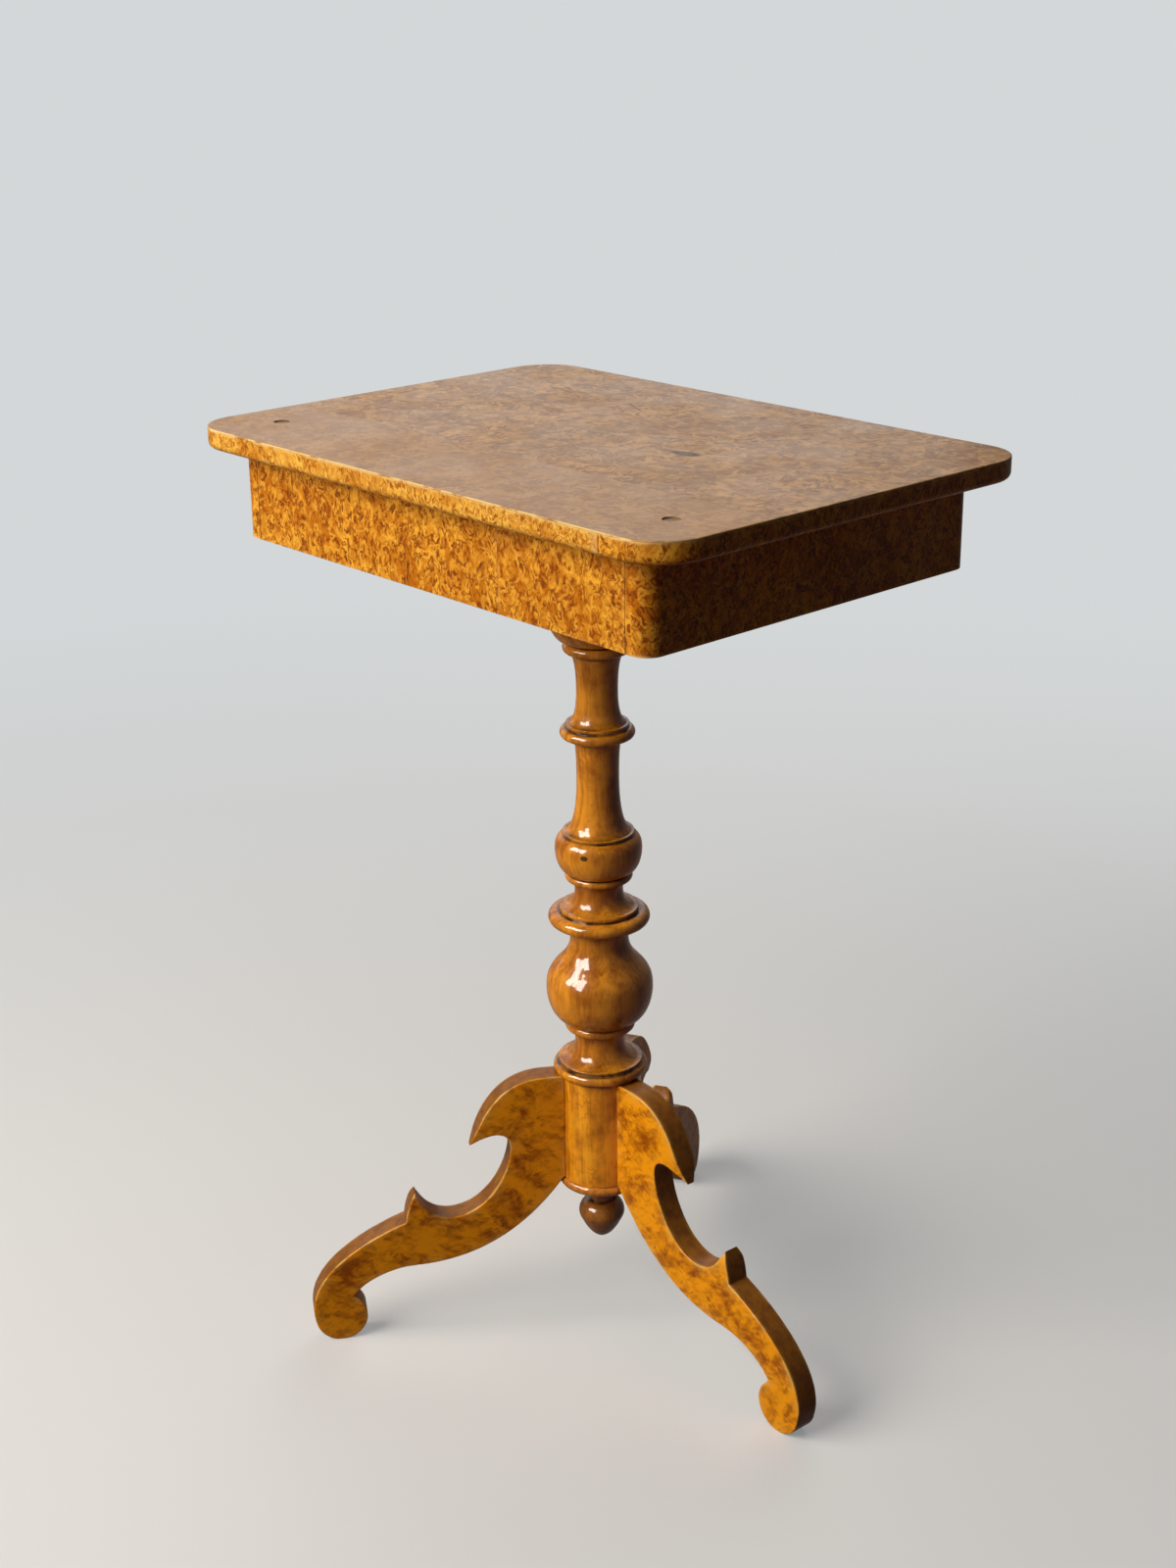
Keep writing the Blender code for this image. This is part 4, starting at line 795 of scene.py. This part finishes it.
YELLOW_WORN = (0.90, 0.60, 0.22)
FRONT_BURL = burl(
    "front_burl", dark=(0.51, 0.145, 0.003), light=(0.88, 0.40, 0.034), amber=(0.26, 0.050, 0.0015),
    mark=(0.16, 0.028, 0.001), worn=YELLOW_WORN, grain=1.35, ink=0.75, cloudy=0.32, **SATIN)
LIPPING_BURL = burl(
    "lipping_burl", dark=(0.60, 0.210, 0.011), light=(0.90, 0.490, 0.072), amber=(0.42, 0.114, 0.005),
    mark=(0.19, 0.042, 0.002), worn=YELLOW_WORN, grain=1.2, ink=0.7, cloudy=0.5, **SATIN)
TOP_BURL = burl(
    "top_burl", dark=(0.44, 0.205, 0.060), light=(0.74, 0.380, 0.128), amber=(0.34, 0.148, 0.038),
    mark=(0.23, 0.084, 0.021), worn=YELLOW_WORN, grain=2.6, ink=0.4, cloudy=0.35,
    features=[top_seams, top_knot, plug_gap_shade], leaves=top_leaves, **HAZE)
BIRCH_WORN = (0.72, 0.36, 0.07)
LEG_WORN = (0.92, 0.50, 0.11)
COLUMN_BIRCH = turned_birch(
    "column_birch", dark=(0.36, 0.096, 0.004), light=(0.84, 0.310, 0.018), fleck=(0.19, 0.042, 0.003),
    worn=BIRCH_WORN, features=[block_tone, column_marks], **GLOSS)
PENDANT_BIRCH = turned_birch(
    "pendant_birch", dark=(0.22, 0.066, 0.009), light=(0.46, 0.165, 0.024), fleck=(0.10, 0.030, 0.006),
    worn=BIRCH_WORN, features=[ring_tone], **GLOSS)
PLAIN_BIRCH = turned_birch(
    "plain_birch", dark=(0.40, 0.20, 0.07), light=(0.58, 0.34, 0.14), fleck=(0.28, 0.13, 0.05),
    worn=BIRCH_WORN, **SATIN)
# The legs' sawn edge colour is darker sawn wood with painted shade
LEG_BIRCH = sawn_birch(
    "leg_birch", dark=(0.35, 0.074, 0.003), light=(1.00, 0.366, 0.006), fleck=(0.15, 0.030, 0.002),
    edge=(0.21, 0.072, 0.012), worn=LEG_WORN, **SATIN)
PLUG_WOOD = plug_wood("plug_wood")
IRON = iron("iron")
PINES = {axis: pine("pine_" + axis, axis) for axis in "xyz"}


def round_edges(low, high, radius, lower=True, steps=3):
    """Layers of a board with rounded arrises above, and below too if wanted."""
    angles = np.linspace(0, math.pi / 2, steps + 1)
    quarter = [(radius * (1 - math.cos(a)), radius * (1 - math.sin(a))) for a in angles]
    upper = [(high - rise, depth) for rise, depth in quarter[::-1]]
    return ([(low + rise, depth) for rise, depth in quarter] if lower else [(low, 0.0)]) + upper


def arris_wear_and_highlight(height, top, front):
    """Wear of the top's arris, strongest along the lit front, where it is also a painted highlight."""
    if height > top - 1e-6:
        return 0.0
    return 1.0 if front else PLAIN_ARRIS_WEAR


def lying(u, v, w):
    """A point of a board that lies flat."""
    return (u, v, w)


def standing(u, v, w):
    """A point of a board that stands along X."""
    return (u, w, v)


def make_top():
    """The veneer sheet with its two plug holes, and the plugs in them."""
    low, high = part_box("top_veneer")
    outline = []
    for turn, (sx, sy) in enumerate(((1, 1), (-1, 1), (-1, -1), (1, -1))):
        centre = (sx * (high.x - TOP_CORNER_RADIUS), sy * (high.y - TOP_CORNER_RADIUS))
        outline += arc(centre, TOP_CORNER_RADIUS, 90 * turn, 90 * turn + 90, CORNER_STEPS)
    joined = np.array(outline + outline[:1])
    outline = np.array(stepped(joined, VENEER_SPACING))
    holes = []
    for side in ("left", "right"):
        a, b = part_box("top_plug_" + side)
        centre = ((a.x + b.x) / 2, (a.y + b.y) / 2)
        radius = (b.x - a.x) / 2
        holes.append(np.array(arc(centre, radius + PLUG_CLEARANCE, 0, 360, PLUG_SEGMENTS)[:-1]))
        plug = Shape()
        face = high.z - PLUG_SUNK
        rim = [(0, a.z), (radius * 0.9, a.z), (radius, a.z + PLUG_CHAMFER), (radius, face - PLUG_ARRIS)]
        rim += [(radius - PLUG_ARRIS, face), (radius * 0.5, face - PLUG_DISH * 0.625), (0, face - PLUG_DISH)]
        plug.lathe(rim, centre, PLUG_SEGMENTS)
        plug.piece("plug_" + side, PLUG_WOOD, ["top_plug_" + side])
    top = Shape()
    layers = round_edges(low.z, high.z, TOP_ARRIS, lower=False) + [(high.z, TOP_ARRIS * 1.8)]
    top.plate(outline, layers, VENEER_SPACING, lying, holes)
    front = low.y + TOP_ARRIS * 2
    # The top's front arris is lighter: wear, and a painted highlight where the front is lit
    top.values["wear"] = [arris_wear_and_highlight(z, high.z, y < front) for x, y, z in top.points]
    top.piece("top_sheet", TOP_BURL, ["top_veneer"])


def corner_stations(sx, sy, half_x, half_y, radius):
    """Stations round one corner, from its end side to its front or back side."""
    centre = (sx * (half_x - radius), sy * (half_y - radius))
    made = []
    for angle in np.linspace(0, math.pi / 2, CORNER_STEPS + 1):
        x, y = sx * math.cos(angle), sy * math.sin(angle)
        made.append((centre[0] + radius * x, centre[1] + radius * y, -x, -y))
    return made


def make_lippings():
    """The edge of the top in eight lengths."""
    low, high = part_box("lipping_front")
    half_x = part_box("top_veneer")[1].x
    half_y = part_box("top_veneer")[1].y
    depth = high.y - low.y
    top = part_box("top_veneer")[0].z - HAIRLINE
    section = [(0.0, top)]
    section += arc((LIPPING_LOWER_RADIUS, low.z + LIPPING_LOWER_RADIUS), LIPPING_LOWER_RADIUS, 180, 270, 10)
    section += [(depth, low.z), (depth, high.z), (depth * 0.5, high.z), (depth * 0.4, top)]
    section = np.array(section)
    worn = [(0.0, top)]
    straight = {
        "front": lambda a, b: [(a.x, -half_y, 0, 1), (b.x, -half_y, 0, 1)],
        "back": lambda a, b: [(a.x, half_y, 0, -1), (b.x, half_y, 0, -1)],
        "right_end": lambda a, b: [(half_x, a.y, -1, 0), (half_x, b.y, -1, 0)],
        "left_end": lambda a, b: [(-half_x, a.y, 1, 0), (-half_x, b.y, 1, 0)],
    }
    for number, (place, stations) in enumerate(straight.items()):
        shape = Shape()
        node = "lipping_" + place
        a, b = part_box(node)
        if place == "front":
            middle = (a + b) / 2
            patch = Vector((b.x - PATCH_WIDTH, middle.y, middle.z))
            shape.sweep(stations(patch, b), section, worn, cut_from(PATCH_LEAF), tone=PATCH_WEAR)
            b = patch - Vector((SEAM, 0, 0))
        shape.sweep(stations(a, b), section, worn, cut_from(STRAIGHT_LEAF, number))
        material = LIPPING_BURL if place == "front" else FRONT_BURL
        shape.piece("edge_" + place, material, [node])
    corners = {"front_right": (1, -1), "back_right": (1, 1), "back_left": (-1, 1), "front_left": (-1, -1)}
    for number, (place, (sx, sy)) in enumerate(corners.items()):
        shape = Shape()
        node = "lipping_" + place + "_corner"
        a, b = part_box(node)
        inner_x = a.x if sx > 0 else b.x
        inner_y = a.y if sy > 0 else b.y
        stations = [(sx * half_x, inner_y, -sx, 0)]
        stations += corner_stations(sx, sy, half_x, half_y, TOP_CORNER_RADIUS)
        stations.append((inner_x, sy * half_y, 0, -sy))
        shape.sweep(stations, section, worn, cut_from(CORNER_LEAF, number))
        material = LIPPING_BURL if place == "front_left" else FRONT_BURL
        shape.piece("edge_" + place + "_corner", material, [node])


def make_end_veneers():
    """Veneer round both ends of the frieze, each in two leaves."""
    for sx, side in ((1, "right"), (-1, "left")):
        node = side + "_end_veneer"
        low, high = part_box(node)
        half_x = max(abs(low.x), abs(high.x))
        start = min(abs(low.x), abs(high.x))
        inner = END_VENEER_THICKNESS
        bottom = softened(np.array([(inner, low.z), (0.0, low.z), (0.0, high.z)]), VENEER_ARRIS)
        section = np.vstack((bottom, [(inner, high.z)]))
        shape = Shape()
        for sy in (-1, 1):
            end = sx * END_SEAM + sy * SEAM
            stations = corner_stations(sx, sy, half_x, high.y, FRIEZE_CORNER_RADIUS)
            stations = [(sx * half_x, end, -sx, 0)] + stations + [(sx * start, sy * high.y, 0, -sy)]
            shape.sweep(stations, section, [(0.0, low.z)], (END_LEAF[0] * sx, END_LEAF[1] * sy, 0.0))
        shape.piece(node.replace("veneer", "leaf"), FRONT_BURL, [node])


def make_flat_veneer(name, node, seam, stretch, body):
    """Veneer on a flat front or back, in two leaves with a seam between them."""
    low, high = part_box(node)
    layers = round_edges(low.y, high.y, VENEER_ARRIS)
    shape = Shape()
    for number, (a, b) in enumerate(((low.x, seam - SEAM / 2), (seam + SEAM / 2, high.x))):
        outline = np.array([(a, low.z), (b, low.z), (b, high.z), (a, high.z), (a, low.z)])
        outline = np.array(stepped(outline, VENEER_SPACING))
        leaf = cut_from(stretch, number)
        shape.plate(
            outline, layers, VENEER_SPACING, standing, leaf=leaf, fade=VENEER_WORN, worn=VENEER_WEAR)
    shape.piece(name, FRONT_BURL, [node], body)


def onion(path):
    """The pendant's outline with the drop's shoulder lower on its neck and its cone straighter."""
    drop = [p for p in path if p[1] < RING_BOTTOM - NECK_SHOWN]
    belly = max(drop)[1]
    depth = belly - drop[-1][1]
    made = [p for p in path if p not in drop]
    for radius, height in drop:
        share = max(0.0, (belly - height) / depth)
        rise = max(0.0, height - belly)
        made.append((radius * (1 - CONE_HOLLOW * 4 * share * (1 - share)), height - rise * SHOULDER_DROP))
    return made


def make_column():
    """The turned column and the pendant below it."""
    low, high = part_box("column")
    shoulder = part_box("front_bottom_rail")[0].z
    spigot_low, spigot_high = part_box("pendant")
    path = [p for p in turned_outline("column", shoulder) if p[1] >= low.z]
    fine = softened(refined(path, TURNED_SPACING), TURNED_ARRIS)
    tenon = path[0][0]
    top = [(0, high.z), (tenon, high.z)]
    bore_end = spigot_high.z + SPIGOT_CLEARANCE
    bottom = [(BORE_RADIUS, low.z), (BORE_RADIUS, bore_end), (0, bore_end)]
    column = Shape()
    column.lathe(top + [tuple(p) for p in fine] + bottom)
    column.piece("turned_column", COLUMN_BIRCH, ["column"])
    path = onion(turned_outline("pendant", low.z))
    fine = softened(refined(path, PENDANT_SPACING), TURNED_ARRIS)
    spigot = [(0, spigot_high.z), (SPIGOT_RADIUS, spigot_high.z)]
    pendant = Shape()
    pendant.lathe(spigot + [tuple(p) for p in fine] + [(0, spigot_low.z)], leaf=cut_from(PENDANT_LEAF))
    pendant.piece("turned_pendant", PENDANT_BIRCH, ["pendant"])


def sharp_tips(outline):
    """The two sharpest outward corners of a leg's outline, the higher one first."""
    around = np.array(outline[-1:] + outline + outline[:1])
    turn = turns(around)[0]
    sharpest = np.argsort(turn)[-2:]
    return sorted((outline[i] for i in sharpest), key=lambda p: -p[1])


def make_legs():
    """Three legs from one outline, coped to the column, each from its own stretch of board."""
    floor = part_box("leg_right")[0].z
    node_faces = cad_faces("leg_right", COLUMN_TURN)
    half = max(y for face in node_faces for x, y, z in face)
    outline = flat_outline(node_faces, half)
    root = math.hypot(min(u for u, v in outline), half)
    fine = softened(refined(outline, LEG_SPACING, closed=True), LEG_ARRIS * 0.5, closed=True)
    rounds = round_edges(-half, half, LEG_ARRIS)
    count = len(rounds) // 2
    middle = [(w, 0.0) for w in np.linspace(LEG_ARRIS - half, half - LEG_ARRIS, LEG_LAYERS)[1:-1]]
    layers = rounds[:count] + middle + rounds[count:]
    thorn, cusp = sharp_tips(outline)

    def coped(u, v, w):
        """A point of the board, thinned at the tips and no nearer to the axis than the column's side."""
        for tip, reach, share in ((thorn, THORN_REACH, THORN_SHARE), (cusp, CUSP_REACH, CUSP_SHARE)):
            near = min(1.0, math.dist((u, v), tip) / reach)
            w *= share + (1 - share) * near * (2 - near)
        return (max(u, math.sqrt(root**2 - w**2)), w, max(v, floor))

    for number, (node, turn) in enumerate(LEG_TURNS.items()):
        leg = Shape()
        leg.plate(fine, layers, LEG_FACE_SPACING, coped, leaf=cut_from(LEG_LEAF, number))
        name = node.replace("leg", "sawn_leg")
        leg.piece(name, LEG_BIRCH, [node], turn=turn + COLUMN_TURN)


def dress_nodes():
    """Materials of the nodes, by slot and by the way their grain runs."""
    across = ("top_board", "back_rail", "front_bottom_rail", "drawer_front", "drawer_back", "drawer_bottom")
    upright = ("left_glue_block", "right_glue_block")
    for name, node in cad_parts.items():
        slot = node.data.materials[0].name
        if slot == "pine":
            material = PINES["x" if name in across else "z" if name in upright else "y"]
        elif slot == "iron":
            material = IRON
        else:
            material = PLAIN_BIRCH
        node.material_slots[0].material = material


# Camera, fitted to the table's edges in the photograph
IMAGE_WIDTH = 1200
IMAGE_HEIGHT = 1600
FOCAL_PIXELS = 2301.756
CAMERA_AZIMUTH = math.radians(47.8354)
CAMERA_ELEVATION = math.radians(20.8510)
CAMERA_ROLL = math.radians(-0.6282)
CAMERA_DISTANCE = 1.77302
CAMERA_TARGET = Vector((-0.01153, 0.0, 0.47312))
SENSOR = 36.0


def direction(azimuth, elevation):
    """A direction from its azimuth, 0 at the front and growing to the right, and its elevation."""
    flat = math.cos(elevation)
    return Vector((math.sin(azimuth) * flat, -math.cos(azimuth) * flat, math.sin(elevation)))


def aimed(back, roll=0.0):
    """A turn that looks along the negative of a direction."""
    right = Vector((0, 0, 1)).cross(back).normalized()
    up = back.cross(right)
    turned_right = right * math.cos(roll) + up * math.sin(roll)
    turned_up = up * math.cos(roll) - right * math.sin(roll)
    return Matrix((turned_right, turned_up, back)).transposed().to_4x4()


def make_camera():
    """A camera at the photograph's place."""
    data = bpy.data.cameras.new("camera")
    data.sensor_fit = "VERTICAL"
    data.sensor_height = SENSOR
    data.sensor_width = SENSOR * IMAGE_WIDTH / IMAGE_HEIGHT
    data.lens = SENSOR * FOCAL_PIXELS / IMAGE_HEIGHT
    camera = bpy.data.objects.new("camera", data)
    back = direction(CAMERA_AZIMUTH, CAMERA_ELEVATION)
    place = Matrix.Translation(CAMERA_TARGET + back * CAMERA_DISTANCE)
    camera.matrix_world = place @ aimed(back, CAMERA_ROLL)
    bpy.context.scene.collection.objects.link(camera)
    bpy.context.scene.camera = camera


# Light, as seen from the front: azimuths grow to the right, in degrees
LAMP_TARGET = Vector((0, 0, 0.45))
DAYLIGHT = (1.0, 0.98, 0.95)
SKYLIGHT = (0.95, 0.97, 1.0)
WALL_LIGHT = (0.96, 0.98, 1.0)
WINDOW_ELEVATION = 32
PANE_SIZES = ((0.52, 1.25), (0.44, 0.95), (0.56, 1.4))
PANE_AZIMUTH = -30
PANE_STEP = 15
PANE_POWER = 92
PALE = (0.655, 0.68, 0.69)
FLOOR_PALE = (0.88, 0.82, 0.75)
FLOOR_EVEN = 0.35
FLOOR_NEAR = 0.2
FLOOR_FAR = 2.4
FLOOR_REACH = 60.0
FLOOR_MIRRORED = 0.27
FLOOR_BOUNCE = (0.14, 0.073, 0.030)
ROOM_LIGHT = 0.03
ROOM_MIRRORED = 0.36


def make_lamp(name, azimuth, elevation, distance, size, power, color):
    """A soft rectangular lamp that looks at the middle of the table."""
    data = bpy.data.lights.new(name, "AREA")
    data.shape = "RECTANGLE"
    data.size, data.size_y = size
    data.energy = power
    data.color = color
    lamp = bpy.data.objects.new(name, data)
    back = direction(math.radians(azimuth), math.radians(elevation))
    lamp.matrix_world = Matrix.Translation(LAMP_TARGET + back * distance) @ aimed(back)
    lamp.visible_camera = False
    bpy.context.scene.collection.objects.link(lamp)
    return lamp


def matt_pieces():
    """A list of the pieces that are too matt to mirror the window's panes."""
    matt = bpy.data.collections.new("matt_pieces")
    for name in ("top_sheet", "plug_left", "plug_right"):
        matt.objects.link(bpy.data.objects[name])
    for listed in matt.collection_objects:
        listed.light_linking.link_state = "EXCLUDE"
    return matt


def make_lights():
    """A soft window, its panes as gloss mirrors them, a weak light from behind and a sheen from the wall."""
    window = make_lamp(
        "soft_window", azimuth=-18, elevation=WINDOW_ELEVATION, distance=2.3, size=(2.0, 1.45), power=67,
        color=DAYLIGHT)
    window.visible_glossy = False
    matt = matt_pieces()
    for number, (width, height) in enumerate(PANE_SIZES):
        pane = make_lamp(
            "pane_%d" % number, azimuth=PANE_AZIMUTH + PANE_STEP * number, elevation=WINDOW_ELEVATION,
            distance=2.25, size=(width, height), power=PANE_POWER * width * height, color=DAYLIGHT)
        pane.visible_diffuse = False
        pane.light_linking.receiver_collection = matt
    fill = make_lamp(
        "back_fill", azimuth=215, elevation=22, distance=2.6, size=(2.0, 1.4), power=22, color=SKYLIGHT)
    fill.visible_glossy = False
    sheen = make_lamp(
        "wall_sheen", azimuth=246, elevation=21, distance=3.0, size=(3.6, 1.6), power=17, color=WALL_LIGHT)
    sheen.visible_diffuse = False


def seen_rays(t):
    """1 for rays from the camera or through glass, and 0 for rays that light other things."""
    direct = t.add("LightPath", {}, "Is Camera Ray")
    through = t.add("LightPath", {}, "Is Transmission Ray")
    return t.math("MAXIMUM", direct, through)


def make_floor():
    """A wide pale floor that fades into the background; its bounce is warm and its mirror image dim."""
    t = Tree(bpy.data.materials.new("floor"))
    seen = seen_rays(t)
    color = t.mix(seen, FLOOR_BOUNCE, FLOOR_PALE)
    lit = t.add("BsdfDiffuse", {"Color": color})
    pale = t.add("Emission", {"Color": (*PALE, 1.0), "Strength": 1.0})
    spot = t.add("NewGeometry", {}, "Position")
    away = t.add("VectorMath", {0: spot}, "Value", operation="LENGTH")
    share = t.times(t.between(away, FLOOR_NEAR, FLOOR_FAR, FLOOR_EVEN, 1.0), seen)
    mirrored = t.times(t.add("LightPath", {}, "Is Glossy Ray"), FLOOR_MIRRORED)
    share = t.math("MAXIMUM", share, mirrored)
    t.end(t.add("MixShader", {0: share, 1: lit, 2: pale}))
    mesh = bpy.data.meshes.new("floor")
    corners = ((-1, -1), (1, -1), (1, 1), (-1, 1))
    mesh.from_pydata([(x * FLOOR_REACH, y * FLOOR_REACH, 0) for x, y in corners], [], [(0, 1, 2, 3)])
    mesh.materials.append(t.owner)
    floor = bpy.data.objects.new("floor", mesh)
    bpy.context.scene.collection.objects.link(floor)


def make_world():
    """Pale background, a weak even light on the object and a dimmer mirror image."""
    t = Tree(bpy.data.worlds.new("studio"))
    seen = seen_rays(t)
    mirrored = t.times(t.add("LightPath", {}, "Is Glossy Ray"), ROOM_MIRRORED)
    strength = t.math("MAXIMUM", t.between(seen, 0.0, 1.0, ROOM_LIGHT, 1.0), mirrored)
    sky = t.add("Background", {"Color": (*PALE, 1.0), "Strength": strength})
    t.end(sky, "World")
    bpy.context.scene.world = t.owner


make_top()
make_lippings()
make_end_veneers()
make_flat_veneer("drawer_front_leaf", "drawer_front_veneer", DRAWER_SEAM, DRAWER_LEAF, "drawer")
make_flat_veneer("back_leaf", "back_veneer", BACK_SEAM, BACK_LEAF, "table")
make_column()
make_legs()
dress_nodes()
make_camera()
make_floor()
make_world()
make_lights()
bpy.context.scene.view_settings.view_transform = "Standard"
